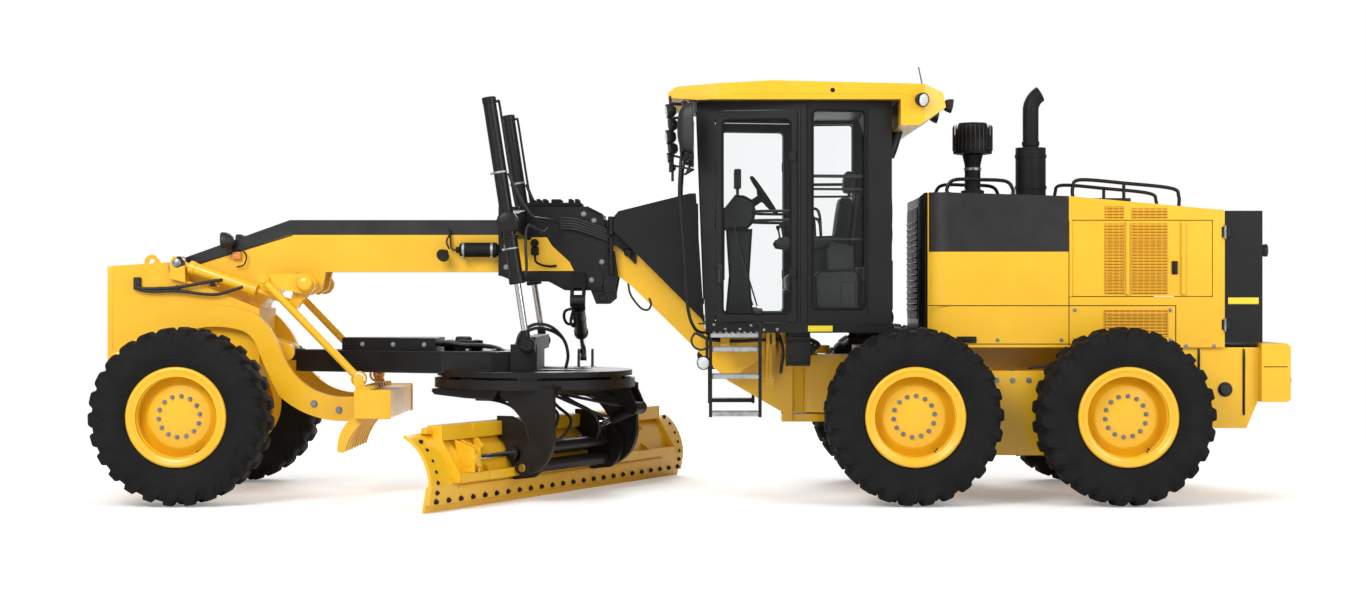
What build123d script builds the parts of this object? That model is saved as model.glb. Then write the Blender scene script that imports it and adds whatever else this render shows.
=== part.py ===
from build123d import *
from math import cos, radians, sin, sqrt
import os

# Articulated motor grader, in millimetres. +X is forward, +Y is the machine's left, +Z is up.
# The origin is on the ground, under the middle of the machine's length.

os.makedirs("parts", exist_ok=True)

# ---- wheels and axles ----
front_axle_x = 3750
rear_axle_x = (-1625, -3172)
tyre_radius = 655
tyre_width = 440
wheel_y = 1020
rim_radius = 318
rim_flange_radius = 362
rim_width = 384
rim_wall = 20
disc_out = 85
disc_thick = 26
disc_flat_radius = 225
disc_step = 45
hub_radius = 115
spindle_radius = 59.5
spindle_gap = 0.5
kingpin_y = 900
kingpin_radius = 30
kingpin_gap = 0.5
rod_gap = 0.5
axle_half_width = 90
axle_height = 250
fork_gap = 8
fork_thick = 52
knuckle_radius = 75
# the steering arms point straight back from the kingpins, so that the tie rod and both arms make a parallelogram
steer_arm = 105
steer_plate = 24
tie_rod_radius = 22

# ---- front frame ----
nose_x = 4494
nose_bottom = 934
nose_top = 1765
nose_rear_x = 3330
nose_half_width = 315
beam_half_width = 170
beam_top = 2126
beam_bottom = 1723
beam_front_x = 3123
drop_x = 649
belly_top = 1150
bolster_z = 800
hinge_x = -935
hinge_radius = 140
hinge_pin_radius = 45
hinge_pin_gap = 0.5
hinge_plate_low = 560
hinge_plate_thick = 60

# ---- drawbar, circle and blade ----
ball_x = 3170
ball_z = 1100
circle_x = 1216
circle_y = 230
circle_radius = 770
circle_inner = 630
circle_low = 840
circle_high = 910
shoe_gap = 0.5
drawbar_low = 953
drawbar_high = 1115
blade_turn = 28.5
blade_length = 3660
blade_shift = -250
blade_plate = 25
blade_low = 4
tilt_pin_f = -300
tilt_pin_z = 265
arm_u = 605
arm_thick = 40
carrier_u = 552
carrier_thick = 38
lift_y = 800
lift_trunnion = (1374, 2089)
lift_eye = (1232, 1171)
# pins on which a cylinder's eye has play, as its swing only nearly follows the part it moves
open_pin_radius = 24
small_pin_radius = 12

# ---- centre shift ----
centre_x = 880
centre_base = (centre_x, 360, 1500)
centre_eye = (centre_x, -480, 1060)

# ---- scarifier ----
scar_pivot = (4400, 1050)
scar_arm_y = 355
scar_arm_half = 32
block_low = 615
block_high = 819
block_half = 600
link_foot = (2542, 905)
link_y = 450
crank_pivot = (2957, 1629)
crank_top = (3271, 1658)
crank_lever = (3058, 1476)
crank_shaft_radius = 55
scar_cylinder_y = 300
scar_cylinder_base = (3955, 1790)

# ---- cab ----
cab_floor_z = 1260
cab_top_z = 3008
cab_front_x = -35
cab_foot_x = -103
cab_pillar_x = -854
cab_rear_x = -1507
cab_front_half = 550
cab_pillar_half = 700
cab_rear_half = 620
cab_wall = 60
door_gap = 6

# ---- rear body ----
hood_front_x = -1725
hood_rear_x = -4010
hood_half_width = 650
hood_low = 1150
hood_wall = 30
hood_corner = 240
bumper_rear_x = -4494


def save(builder, name):
    """Label one finished piece and write it as its own file."""
    builder.part.label = name
    export_step(builder.part, f"parts/{name}.step")


def side_plane(y):
    """A plane that faces -Y at the given y: its own axes are X and Z."""
    return Plane(origin=(0, y, 0), x_dir=(1, 0, 0), z_dir=(0, -1, 0))


# ================= wheels =================
# wheel: name, axle x, side
wheels = [
    ("front_left", front_axle_x, 1),
    ("front_right", front_axle_x, -1),
    ("middle_left", rear_axle_x[0], 1),
    ("middle_right", rear_axle_x[0], -1),
    ("rear_left", rear_axle_x[1], 1),
    ("rear_right", rear_axle_x[1], -1),
]
half_rim = rim_width / 2
flange_thick = 14
bead_half = half_rim - flange_thick
half_tyre = tyre_width / 2
barrel_inner = rim_radius - rim_wall
hub_in = -10
for wheel_name, wheel_x, side in wheels:
    centre = Plane(origin=(wheel_x, side * wheel_y, tyre_radius), x_dir=(0, side, 0), z_dir=(side, 0, 0))
    spin = Axis((wheel_x, side * wheel_y, tyre_radius), (0, 1, 0))
    with BuildPart() as tyre:
        with BuildSketch(centre):
            with BuildLine():
                right = Polyline((bead_half, rim_radius), (bead_half, rim_flange_radius + 18))
                ThreePointArc(right @ 1, (half_tyre, 0.74 * tyre_radius), (half_tyre - 12, 0.92 * tyre_radius))
                tread = ThreePointArc((half_tyre - 12, 0.92 * tyre_radius), (half_tyre - 30, 0.972 * tyre_radius),
                                      (half_tyre - 75, 0.993 * tyre_radius))
                crown = ThreePointArc(tread @ 1, (0, tyre_radius), (75 - half_tyre, 0.993 * tyre_radius))
                tread_2 = ThreePointArc(crown @ 1, (30 - half_tyre, 0.972 * tyre_radius),
                                        (12 - half_tyre, 0.92 * tyre_radius))
                wall_2 = ThreePointArc(tread_2 @ 1, (-half_tyre, 0.74 * tyre_radius),
                                       (-bead_half, rim_flange_radius + 18))
                Polyline(wall_2 @ 1, (-bead_half, rim_radius), (bead_half, rim_radius))
            make_face()
        revolve(axis=spin)
    save(tyre, f"{wheel_name}_tyre")

    with BuildPart() as rim:
        with BuildSketch(centre):
            Polygon(
                (-half_rim, rim_flange_radius), (-bead_half, rim_flange_radius), (-bead_half, rim_radius),
                (bead_half, rim_radius), (bead_half, rim_flange_radius), (half_rim, rim_flange_radius),
                (half_rim, barrel_inner), (disc_out - disc_step, barrel_inner), (disc_out, disc_flat_radius),
                (disc_out, 0), (disc_out - disc_thick, 0), (disc_out - disc_thick, spindle_radius + spindle_gap),
                (hub_in, spindle_radius + spindle_gap), (hub_in, hub_radius),
                (disc_out - disc_thick, hub_radius), (disc_out - disc_thick, disc_flat_radius - 8),
                (disc_out - disc_step - disc_thick, barrel_inner), (-half_rim, barrel_inner),
                align=None,
            )
        revolve(axis=spin)
    save(rim, f"{wheel_name}_rim")

# ================= steering =================
fork_in = 95
kingpin_z = tyre_radius
web_in = knuckle_radius + 5
web_out = wheel_y + hub_in - kingpin_y - 6
fork_half = fork_in + fork_thick
for side, knuckle_name in ((1, "left_knuckle"), (-1, "right_knuckle")):
    pin_y = side * kingpin_y
    with BuildPart() as knuckle:
        with BuildSketch(Plane.XY.offset(kingpin_z + fork_in)):
            with Locations((front_axle_x, pin_y)):
                Circle(knuckle_radius)
            with Locations((front_axle_x, pin_y + side * web_out / 2)):
                Rectangle(2 * knuckle_radius, web_out)
        extrude(amount=fork_thick)
        with BuildSketch(Plane.XY.offset(kingpin_z - fork_in)):
            with Locations((front_axle_x, pin_y)):
                Circle(knuckle_radius)
            with Locations((front_axle_x, pin_y + side * web_out / 2)):
                Rectangle(2 * knuckle_radius, web_out)
        extrude(amount=-fork_thick)
        with BuildSketch(Plane.XY.offset(kingpin_z - fork_half)):
            with Locations((front_axle_x, pin_y + side * (web_in + web_out) / 2)):
                Rectangle(2 * knuckle_radius, web_out - web_in)
        extrude(amount=2 * fork_half)
        with BuildSketch(Plane.XY.offset(kingpin_z - fork_half)):
            with Locations((front_axle_x, pin_y)):
                Circle(kingpin_radius)
        extrude(amount=2 * fork_half)
        with BuildSketch(Plane(origin=(front_axle_x, pin_y + side * web_out, kingpin_z), z_dir=(0, side, 0))):
            Circle(spindle_radius)
        extrude(amount=disc_out - disc_thick - hub_in)
        # steering arm, under the fork and straight back to the tie rod's eye
        arm_end = (front_axle_x - steer_arm, pin_y)
        with BuildSketch(Plane.XY.offset(kingpin_z - fork_half)):
            with Locations((front_axle_x - steer_arm / 2, pin_y)):
                Rectangle(steer_arm, 84)
            with Locations(arm_end):
                Circle(42)
        extrude(amount=-steer_plate)
        with BuildSketch(Plane.XY.offset(kingpin_z - fork_half - steer_plate)):
            with Locations(arm_end):
                Circle(16)
        extrude(amount=-2 * tie_rod_radius - 6)
    save(knuckle, knuckle_name)

tie_x = front_axle_x - steer_arm
tie_y = kingpin_y
tie_z = kingpin_z - fork_half - steer_plate - tie_rod_radius - 5
with BuildPart() as tie_rod:
    with BuildSketch(Plane(origin=(tie_x, -tie_y + 30, tie_z), z_dir=(0, 1, 0))):
        Circle(tie_rod_radius)
    extrude(amount=2 * tie_y - 60)
    for side in (1, -1):
        with BuildSketch(Plane.XY.offset(tie_z)):
            with Locations((tie_x, side * tie_y)):
                Circle(38)
        extrude(amount=tie_rod_radius + 2, both=True)
        with BuildSketch(Plane.XY.offset(tie_z)):
            with Locations((tie_x, side * tie_y)):
                Circle(16.5)
        extrude(amount=2 * tie_rod_radius, both=True, mode=Mode.SUBTRACT)
save(tie_rod, "tie_rod")

with BuildPart() as front_axle:
    with BuildSketch(Plane(origin=(front_axle_x, 0, kingpin_z), x_dir=(0, 1, 0), z_dir=(1, 0, 0))):
        Polygon((-kingpin_y, -60), (-kingpin_y + 160, -110), (-260, -125), (260, -125), (kingpin_y - 160, -110),
                (kingpin_y, -60), (kingpin_y, 60), (kingpin_y - 160, 90), (300, 100),
                (210, bolster_z - kingpin_z), (-210, bolster_z - kingpin_z), (-300, 100),
                (-kingpin_y + 160, 90), (-kingpin_y, 60), align=None)
    extrude(amount=axle_half_width, both=True)
    for side in (1, -1):
        # the end narrows to a round boss on the kingpin
        with BuildSketch(Plane.XY.offset(kingpin_z - axle_height)):
            with Locations((front_axle_x, side * (kingpin_y + 5))):
                Rectangle(2 * axle_half_width + 20, 150)
            with Locations((front_axle_x, side * kingpin_y)):
                Circle(knuckle_radius - 5, mode=Mode.SUBTRACT)
        extrude(amount=2 * axle_height, mode=Mode.SUBTRACT)
        with BuildSketch(Plane.XY.offset(kingpin_z - fork_in + fork_gap)):
            with Locations((front_axle_x, side * kingpin_y)):
                Circle(knuckle_radius - 5)
            with Locations((front_axle_x, side * (kingpin_y - 60))):
                Rectangle(2 * (knuckle_radius - 5), 120)
        extrude(amount=2 * (fork_in - fork_gap))
        with BuildSketch(Plane.XY.offset(kingpin_z - axle_height)):
            with Locations((front_axle_x, side * kingpin_y)):
                Circle(kingpin_radius + kingpin_gap)
        extrude(amount=2 * axle_height, mode=Mode.SUBTRACT)
save(front_axle, "front_axle")

# ================= front frame =================
nose_low_x = front_axle_x + 350
drop_end_x = cab_foot_x + 8
bolster_rear_x = front_axle_x - 300
with BuildPart() as front_frame:
    # the box beam with its drop to the belly under the cab
    with BuildSketch(side_plane(0)):
        Polygon(
            (nose_rear_x + 20, 1400), (3880, 1560), (3960, 1700), (3950, 1830), (beam_front_x, beam_top), (drop_x, beam_top),
            (drop_end_x, beam_top - (drop_x - drop_end_x)), (drop_end_x, cab_floor_z), (-700, cab_floor_z),
            (-700, belly_top), (hinge_x + 160, belly_top), (hinge_x + 160, hinge_plate_low + 10),
            (-690, 640), (-272, 881), (-80, 1073), (472, 1614), (620, beam_bottom), (3060, beam_bottom),
            (nose_rear_x, 1480),
            align=None,
        )
    extrude(amount=beam_half_width, both=True)
    # the wide nose over the front axle
    with BuildSketch(side_plane(0)):
        Polygon(
            (nose_x, nose_bottom), (nose_x, nose_top), (4045, nose_top + 31), (4010, 1685), (3880, 1650), (3700, 1590),
            (nose_rear_x, 1440), (nose_rear_x, 980), (bolster_rear_x, bolster_z), (nose_low_x, bolster_z),
            (nose_low_x + 60, nose_bottom),
            align=None,
        )
    extrude(amount=nose_half_width, both=True)
    # ears that hold the drawbar's ball
    with BuildSketch(side_plane(0)):
        Polygon((nose_rear_x + 20, ball_z - 110), (nose_rear_x + 20, ball_z + 130), (ball_x, ball_z + 70),
                (ball_x, ball_z - 70), align=None)
        with Locations((ball_x, ball_z)):
            Circle(70)
    extrude(amount=110, both=True)
    with BuildSketch(side_plane(0)):
        with Locations(((ball_x + nose_rear_x) / 2 - 45, ball_z)):
            Rectangle(nose_rear_x - ball_x + 90, 400)
    extrude(amount=76, both=True, mode=Mode.SUBTRACT)
    with BuildSketch(side_plane(0)):
        with Locations((ball_x, ball_z)):
            Circle(30)
    extrude(amount=110, both=True)
    # two plates and the pin of the articulation
    for plate_z in (hinge_plate_low, belly_top - hinge_plate_thick):
        with BuildSketch(Plane.XY.offset(plate_z)):
            with Locations((hinge_x, 0)):
                Circle(hinge_radius)
            with Locations((hinge_x + 120, 0)):
                Rectangle(240, 2 * hinge_radius)
        extrude(amount=hinge_plate_thick)
    with BuildSketch(Plane.XY.offset(hinge_plate_low)):
        with Locations((hinge_x, 0)):
            Circle(hinge_pin_radius)
    extrude(amount=belly_top - hinge_plate_low)
    # cross member that carries the cab floor, and the plates beside the belly
    for cross_x, cross_low in ((-250, 1010), (-600, 830), (-700, 1080)):
        with BuildSketch(Plane.YZ.offset(cross_x)):
            Polygon((-430, cab_floor_z), (430, cab_floor_z), (430, cab_floor_z - 90), (beam_half_width, cross_low),
                    (-beam_half_width, cross_low), (-430, cab_floor_z - 90), align=None)
        extrude(amount=35, both=True)
    # four bolt holes in the nose plate
    with Locations(Plane(origin=(nose_x, 0, 1350), x_dir=(0, 1, 0), z_dir=(1, 0, 0))):
        with GridLocations(440, 500, 2, 2):
            Hole(radius=13, depth=80)
    # pins for the scarifier's arms, hangers for its cross shaft and ears for its cylinder
    for side in (1, -1):
        with BuildSketch(side_plane(side * (nose_half_width - 40))):
            with Locations(scar_pivot):
                Circle(30)
        extrude(amount=-side * (scar_arm_y + scar_arm_half - nose_half_width + 46))
        with BuildSketch(side_plane(side * (beam_half_width - 30))):
            Polygon((crank_pivot[0] - 110, beam_bottom + 5), (crank_pivot[0] + 110, beam_bottom + 5),
                    (crank_pivot[0] + 80, crank_pivot[1] - 40), (crank_pivot[0], crank_pivot[1] - 85),
                    (crank_pivot[0] - 80, crank_pivot[1] - 40), align=None)
            with Locations(crank_pivot):
                Circle(crank_shaft_radius + rod_gap, mode=Mode.SUBTRACT)
        extrude(amount=28, both=True)
        with BuildSketch(side_plane(scar_cylinder_y + side * 45)):
            Polygon((3890, 1640), (4008, 1670), (4005, 1800), (3985, 1840), (3920, 1840), (3895, 1790), align=None)
            with Locations(scar_cylinder_base):
                Circle(20, mode=Mode.SUBTRACT)
        extrude(amount=14, both=True)
    with BuildSketch(side_plane(scar_cylinder_y)):
        with Locations(scar_cylinder_base):
            Circle(20)
    extrude(amount=59, both=True)
    # lifting eye
    with BuildSketch(side_plane(0)):
        with Locations((4236, nose_top + 40)):
            Circle(55)
            Circle(24, mode=Mode.SUBTRACT)
    extrude(amount=18, both=True)
save(front_frame, "front_frame")

# ================= saddle over the beam =================
cheek_out = beam_half_width + 62
trunnion_radius = 38
collar_half = 71.5
ear_out = 57
ear_in = 33
with BuildPart() as saddle:
    with BuildSketch(side_plane(0)):
        Polygon(
            (1500, 2228), (1500, 1700), (1380, 1650), (1100, 1650), (980, 1585), (700, 1585), (690, 1700),
            (720, 1760), (640, 1900), (690, 2160), (820, 2228),
            align=None,
        )
    extrude(amount=cheek_out, both=True)
    with BuildSketch(side_plane(0)):
        with Locations(((1500 + 600) / 2, (beam_top + 1400) / 2)):
            Rectangle(1100, beam_top - 1400)
    extrude(amount=beam_half_width, both=True, mode=Mode.SUBTRACT)
    # yokes out to the lift cylinders' trunnions
    for side in (1, -1):
        with BuildSketch(Plane.XZ.offset(-side * (cheek_out - 20))):
            with Locations(lift_trunnion):
                Rectangle(190, 230)
        with BuildSketch(Plane.XZ.offset(-side * (lift_y - 72))):
            with Locations(lift_trunnion):
                Rectangle(130, 130)
        loft()
        with BuildSketch(Plane.XZ.offset(-side * (lift_y - 72))):
            with Locations(lift_trunnion):
                Circle(trunnion_radius)
        extrude(amount=-side * 44)
    # ears for the centre shift cylinder's barrel
    with BuildSketch(Plane.YZ.offset(centre_x)):
        Polygon((cheek_out - 30, 1595), (cheek_out - 30, 1720), (cheek_out, 1720), (centre_base[1] + 44, centre_base[2] + 20),
                (centre_base[1] - 44, centre_base[2] + 20), align=None)
        with Locations((centre_base[1], centre_base[2])):
            Circle(48)
    extrude(amount=ear_out, both=True)
    with BuildSketch(Plane.YZ.offset(centre_x)):
        Polygon((cheek_out, 1400), (cheek_out, 1600), (500, 1600), (500, 1400), align=None)
    extrude(amount=ear_in, both=True, mode=Mode.SUBTRACT)
    with BuildSketch(Plane.YZ.offset(centre_x)):
        with Locations((centre_base[1], centre_base[2])):
            Circle(25)
    extrude(amount=ear_out, both=True)
save(saddle, "saddle")

# ================= drawbar and circle =================
plate_low = circle_high + 20
plate_high = plate_low + 40
arm_root_x = 1900
arm_root_half = 430
# the A-frame's plan, as x and half width
drawbar_plan = [(ball_x - 76, 64), (arm_root_x, arm_root_half), (circle_x + 300, arm_root_half),
                (circle_x + 100, arm_root_half - 80)]


def swing(x):
    """How far left the drawbar's middle lies at x, as it is swung to one side about the ball."""
    return circle_y * (ball_x - x) / (ball_x - circle_x)


with BuildPart() as drawbar:
    # the A-frame of two beams
    with BuildSketch(Plane.XY.offset(drawbar_low)):
        Polygon(*[(x, swing(x) + half) for x, half in drawbar_plan],
                *[(x, swing(x) - half) for x, half in reversed(drawbar_plan)], align=None)
        Polygon((ball_x - 480, swing(ball_x - 480)), (arm_root_x + 50, swing(arm_root_x) + 250),
                (arm_root_x + 50, swing(arm_root_x) - 250), align=None, mode=Mode.SUBTRACT)
    extrude(amount=drawbar_high - drawbar_low)
    # the eye on the ball pin
    with BuildSketch(side_plane(0)):
        with Locations((ball_x, ball_z)):
            Circle(66)
        with Locations((ball_x - 60, ball_z - 20)):
            Rectangle(120, 90)
    extrude(amount=70, both=True)
    with BuildSketch(side_plane(0)):
        with Locations((ball_x, ball_z)):
            Circle(30.5)
    extrude(amount=80, both=True, mode=Mode.SUBTRACT)
    # the round plate over the circle
    with BuildSketch(Plane.XY.offset(plate_low)):
        with Locations((circle_x, circle_y)):
            Circle(circle_radius - 20)
            Circle(circle_inner - 170, mode=Mode.SUBTRACT)
    extrude(amount=plate_high - plate_low)
    with BuildSketch(Plane.XY.offset(plate_low)):
        with Locations((circle_x, circle_y)):
            Rectangle(2 * circle_inner - 100, 240)
    extrude(amount=plate_high - plate_low)
    # guide shoes under the plate
    with BuildSketch(Plane.XY.offset(circle_high + shoe_gap)):
        with Locations((circle_x, circle_y)):
            with PolarLocations(radius=(circle_radius + circle_inner) / 2, count=6, start_angle=30):
                Rectangle(90, 150)
    extrude(amount=plate_low - circle_high - shoe_gap)
    # cross tube out to the lift cylinders, on two risers
    with BuildSketch(side_plane(0)):
        with Locations((lift_eye[0], lift_eye[1])):
            Rectangle(110, 110)
    extrude(amount=lift_y - 72, both=True)
    with BuildSketch(Plane.XY.offset(plate_low)):
        with Locations((lift_eye[0] + 40, circle_y)):
            Rectangle(200, 2 * arm_root_half - 80)
    extrude(amount=lift_eye[1] - plate_low)
    with BuildSketch(side_plane(0)):
        with Locations(lift_eye):
            Circle(open_pin_radius)
    extrude(amount=lift_y + 50, both=True)
    for side in (1, -1):
        with BuildSketch(side_plane(side * (lift_y + 42))):
            with Locations(lift_eye):
                Circle(46)
        extrude(amount=-side * 8)
    # circle drive: a gearbox and its motor on the beams
    with BuildSketch(Plane.XY.offset(drawbar_low)):
        with Locations((circle_x + 560, swing(circle_x + 560))):
            Circle(150)
    extrude(amount=240)
    # flat cover over the hoses
    with BuildSketch(Plane.XY.offset(drawbar_high)):
        Polygon((2720, swing(2720) - 110), (2720, swing(2720) + 110), (1960, swing(1960) + 300),
                (1960, swing(1960) - 300), align=None)
    extrude(amount=95)
    # ears on an outrigger on both sides of the centre shift cylinder's eye, which swings between them
    with BuildSketch(Plane.XY.offset(plate_low)):
        Polygon((centre_x - 95, -300), (centre_x - 95, -560), (centre_x + 60, -560), (centre_x + 200, -300), align=None)
    extrude(amount=plate_high - plate_low)
    for ear_x in (centre_x - 80, centre_x + ear_in - 3):
        with BuildSketch(Plane.YZ.offset(ear_x)):
            Polygon((centre_eye[1] - 70, plate_low), (centre_eye[1] + 120, plate_low), (centre_eye[1] + 85, centre_eye[2] + 50),
                    (centre_eye[1] - 35, centre_eye[2] + 50), align=None)
        extrude(amount=15)
save(drawbar, "drawbar")

# the blade group's own frame: f runs forward and u to the left end, turned about the circle's centre
turn = radians(blade_turn)
f_dir = Vector(cos(turn), -sin(turn), 0)
u_dir = Vector(sin(turn), cos(turn), 0)


def blade_plane(u):
    """A plane across the blade at distance u from the middle: its own axes are f and Z, facing -u."""
    centre_point = Vector(circle_x, circle_y, 0) + u_dir * u
    return Plane(origin=centre_point, x_dir=f_dir, z_dir=-u_dir)


def circle_plane(z):
    """A level plane at height z on the circle's centre: its own axes are f and u."""
    return Plane(origin=(circle_x, circle_y, z), x_dir=f_dir, z_dir=(0, 0, 1))


tilt_pin = (tilt_pin_f, tilt_pin_z)
tilt_u = -arm_u + 150
shift_end = 1360 + blade_shift
tilt_eye_half = 52
tilt_base = (-640, 670)
tilt_lever = (-300, 515)
arm_boss = 62
with BuildPart() as circle:
    with BuildSketch(circle_plane(circle_low)):
        Circle(circle_radius)
        Circle(circle_inner, mode=Mode.SUBTRACT)
    extrude(amount=circle_high - circle_low)
    for side in (1, -1):
        # the arm that carries the blade, from the ring down to the tilt pin
        with BuildSketch(blade_plane(side * arm_u)):
            with BuildLine():
                Polyline((-560, circle_low + 20), (330, circle_low + 20), (330, circle_low - 40))
                ThreePointArc((330, circle_low - 40), (-190, 730), (-335, 520))
                Polyline((-335, 520), (-335, 430), (tilt_pin_f + 30, tilt_pin_z + 54))
                Line((tilt_pin_f + 30, tilt_pin_z + 54), (tilt_pin_f - 20, tilt_pin_z - 58))
                ThreePointArc((tilt_pin_f - 20, tilt_pin_z - 58), (-490, 300), (-560, 520))
                Line((-560, 520), (-560, circle_low + 20))
            make_face()
            with Locations(tilt_pin):
                Circle(arm_boss)
                Circle(30.5, mode=Mode.SUBTRACT)
        extrude(amount=arm_thick / 2, both=True)
        # web that stiffens the arm against the ring
        with BuildSketch(circle_plane(circle_low - 90)):
            with Locations((-130, side * (arm_u - 90))):
                Rectangle(560, 150)
        extrude(amount=90)
    # bracket behind the right arm for the tilt cylinder
    for side in (1, -1):
        with BuildSketch(blade_plane(tilt_u + side * tilt_eye_half)):
            Polygon((-400, circle_low + 10), (-600, circle_low + 10), (-690, 670), (-650, 622), (-590, 650), align=None)
            with Locations(tilt_base):
                Circle(52)
        extrude(amount=-side * 22)
    with BuildSketch(circle_plane(circle_low - 30)):
        with Locations((-480, 0)):
            Rectangle(170, 2 * arm_u - 60)
    extrude(amount=60)
save(circle, "circle")

# ================= blade =================
# the flat foot that the cutting edge is bolted to, as f and Z of its front face
foot_low = (-110, 60)
foot_high = (-134, 190)
edge_low_f = foot_high[0] + (foot_low[0] - foot_high[0]) * (foot_high[1] - blade_low) / (foot_high[1] - foot_low[1])
rail_gap = 0.5
lip = (90, 530)
# lower and upper slide rails on the blade's back: outer f, inner f, low z, height
rails = [(-225, -140, 205, 60), (-66, 66, 500, 105)]
with BuildPart() as moldboard:
    with BuildSketch(blade_plane(blade_shift)):
        with BuildLine():
            foot = Line(foot_low, foot_high)
            front = ThreePointArc(foot @ 1, (-70, 393), lip)
            top = Line(front @ 1, (lip[0] - 11, lip[1] + 22))
            back = ThreePointArc(top @ 1, (-92, 408), (foot_high[0] - blade_plate, foot_high[1] - 4))
            Polyline(back @ 1, (foot_low[0] - blade_plate, foot_low[1] - 4), foot_low)
        make_face()
    extrude(amount=blade_length / 2, both=True)
    # slide rails, shorter than the blade
    with BuildSketch(blade_plane(blade_shift)):
        for rail_out, rail_in, rail_z, rail_height in rails:
            Polygon((rail_out, rail_z), (rail_in, rail_z), (rail_in, rail_z + rail_height),
                    (rail_out, rail_z + rail_height), align=None)
    extrude(amount=blade_length / 2 - 260, both=True)
    with BuildSketch(blade_plane(blade_shift)):
        with BuildLine():
            ThreePointArc((foot_high[0] + 1, foot_high[1] + 1), (-69, 392), (lip[0] + 1, lip[1] - 1))
            Polyline((lip[0] + 1, lip[1] - 1), (lip[0] + 200, lip[1]), (lip[0] + 200, 150),
                     (foot_high[0] + 1, foot_high[1] + 1))
        make_face()
    extrude(amount=blade_length, both=True, mode=Mode.SUBTRACT)
    # bracket at the left end for the side-shift cylinder's rod
    with BuildSketch(blade_plane(shift_end)):
        Polygon((-125, 300), (-240, 310), (-240, 420), (-60, 450), align=None)
    extrude(amount=25, both=True)
save(moldboard, "moldboard")

with BuildPart() as cutting_edge:
    with BuildSketch(blade_plane(blade_shift)):
        Polygon((edge_low_f, blade_low), (edge_low_f + 22, blade_low), (foot_high[0] + 22, foot_high[1]), foot_high,
                align=None)
    extrude(amount=blade_length / 2, both=True)
save(cutting_edge, "cutting_edge")

shift_bore = (-185, 365)
shift_barrel_radius = 42
shift_rod_radius = 22
tilt_barrel_radius = 44
tilt_rod_radius = 24
lever_gap = 26
with BuildPart() as blade_carrier:
    for side in (1, -1):
        with BuildSketch(blade_plane(side * carrier_u)):
            with BuildLine():
                Polyline((-30, 640), (-150, 640), (tilt_lever[0] - 20, tilt_lever[1] + 52))
                ThreePointArc((tilt_lever[0] - 20, tilt_lever[1] + 52), (-455, 400), (tilt_pin_f - 50, tilt_pin_z - 75))
                Polyline((tilt_pin_f - 50, tilt_pin_z - 75), (-190, 170), (-150, 180), (-30, 460), (-30, 640))
            make_face()
            for rail_out, rail_in, rail_z, rail_height in rails:
                Polygon((rail_out - rail_gap, rail_z - rail_gap), (rail_in, rail_z - rail_gap),
                        (rail_in, rail_z + rail_height + rail_gap), (rail_out - rail_gap, rail_z + rail_height + rail_gap),
                        align=None, mode=Mode.SUBTRACT)
            # clear of the blade's back
            Polygon((-172, 100), (100, 100), (100, 500), (-30, 500), (-90, 440), (-140, 345), (-172, 230), align=None,
                    mode=Mode.SUBTRACT)
            with Locations(shift_bore):
                Circle(shift_barrel_radius - 4, mode=Mode.SUBTRACT)
        extrude(amount=carrier_thick / 2, both=True)
        with BuildSketch(blade_plane(side * carrier_u)):
            with Locations(tilt_pin):
                Circle(30)
        extrude(amount=-side * (arm_u + arm_thick / 2 - carrier_u))
    # tubes that join the two side plates
    for tube_f, tube_z, tube_radius in ((tilt_pin_f, tilt_pin_z, 50), (-300, 400, 45)):
        with BuildSketch(blade_plane(0)):
            with Locations((tube_f, tube_z)):
                Circle(tube_radius)
        extrude(amount=carrier_u, both=True)
    # lever for the tilt cylinder's rod
    for side in (1, -1):
        with BuildSketch(blade_plane(tilt_u + side * (lever_gap + 22))):
            with Locations(tilt_lever):
                Circle(46)
            Polygon((-345, 400), (tilt_lever[0] - 46, tilt_lever[1]), (tilt_lever[0] + 46, tilt_lever[1]),
                    (-255, 400), align=None)
        extrude(amount=side * 22)
    with BuildSketch(blade_plane(tilt_u)):
        with Locations(tilt_lever):
            Circle(small_pin_radius)
    extrude(amount=lever_gap + 5, both=True)
save(blade_carrier, "blade_carrier")

# side shift: the barrel lies across the carrier, the rod is fixed to the blade's left end
shift_low = -860
shift_high = carrier_u + 60
shift_rod_start = -385
with BuildPart() as side_shift_barrel:
    with BuildSketch(blade_plane(shift_low)):
        with Locations(shift_bore):
            Circle(shift_barrel_radius - 4)
    extrude(amount=shift_low - shift_high)
    with BuildSketch(blade_plane(carrier_u + carrier_thick / 2)):
        with Locations(shift_bore):
            Circle(shift_barrel_radius + 12)
    extrude(amount=carrier_u + carrier_thick / 2 - shift_high)
    with BuildSketch(blade_plane(shift_low + 20)):
        with Locations(shift_bore):
            Circle(shift_rod_radius + rod_gap)
    extrude(amount=shift_low - shift_high, mode=Mode.SUBTRACT)
save(side_shift_barrel, "side_shift_barrel")

with BuildPart() as side_shift_rod:
    with BuildSketch(blade_plane(shift_rod_start)):
        with Locations(shift_bore):
            Circle(shift_rod_radius)
    extrude(amount=shift_rod_start - (shift_end - 25))
    with BuildSketch(blade_plane(shift_end - 25)):
        with Locations(shift_bore):
            Circle(38)
    extrude(amount=15)
save(side_shift_rod, "side_shift_rod")


def line_plane(start, end):
    """A plane at the first point whose normal runs to the second."""
    return Plane(origin=start, z_dir=Vector(*end) - Vector(*start))


def blade_point(f, u, z):
    """The machine's x, y, z of a point given in the blade group's frame."""
    point = Vector(circle_x, circle_y, z) + f_dir * f + u_dir * u
    return (point.X, point.Y, point.Z)


def distance(start, end):
    return (Vector(*end) - Vector(*start)).length


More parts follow.
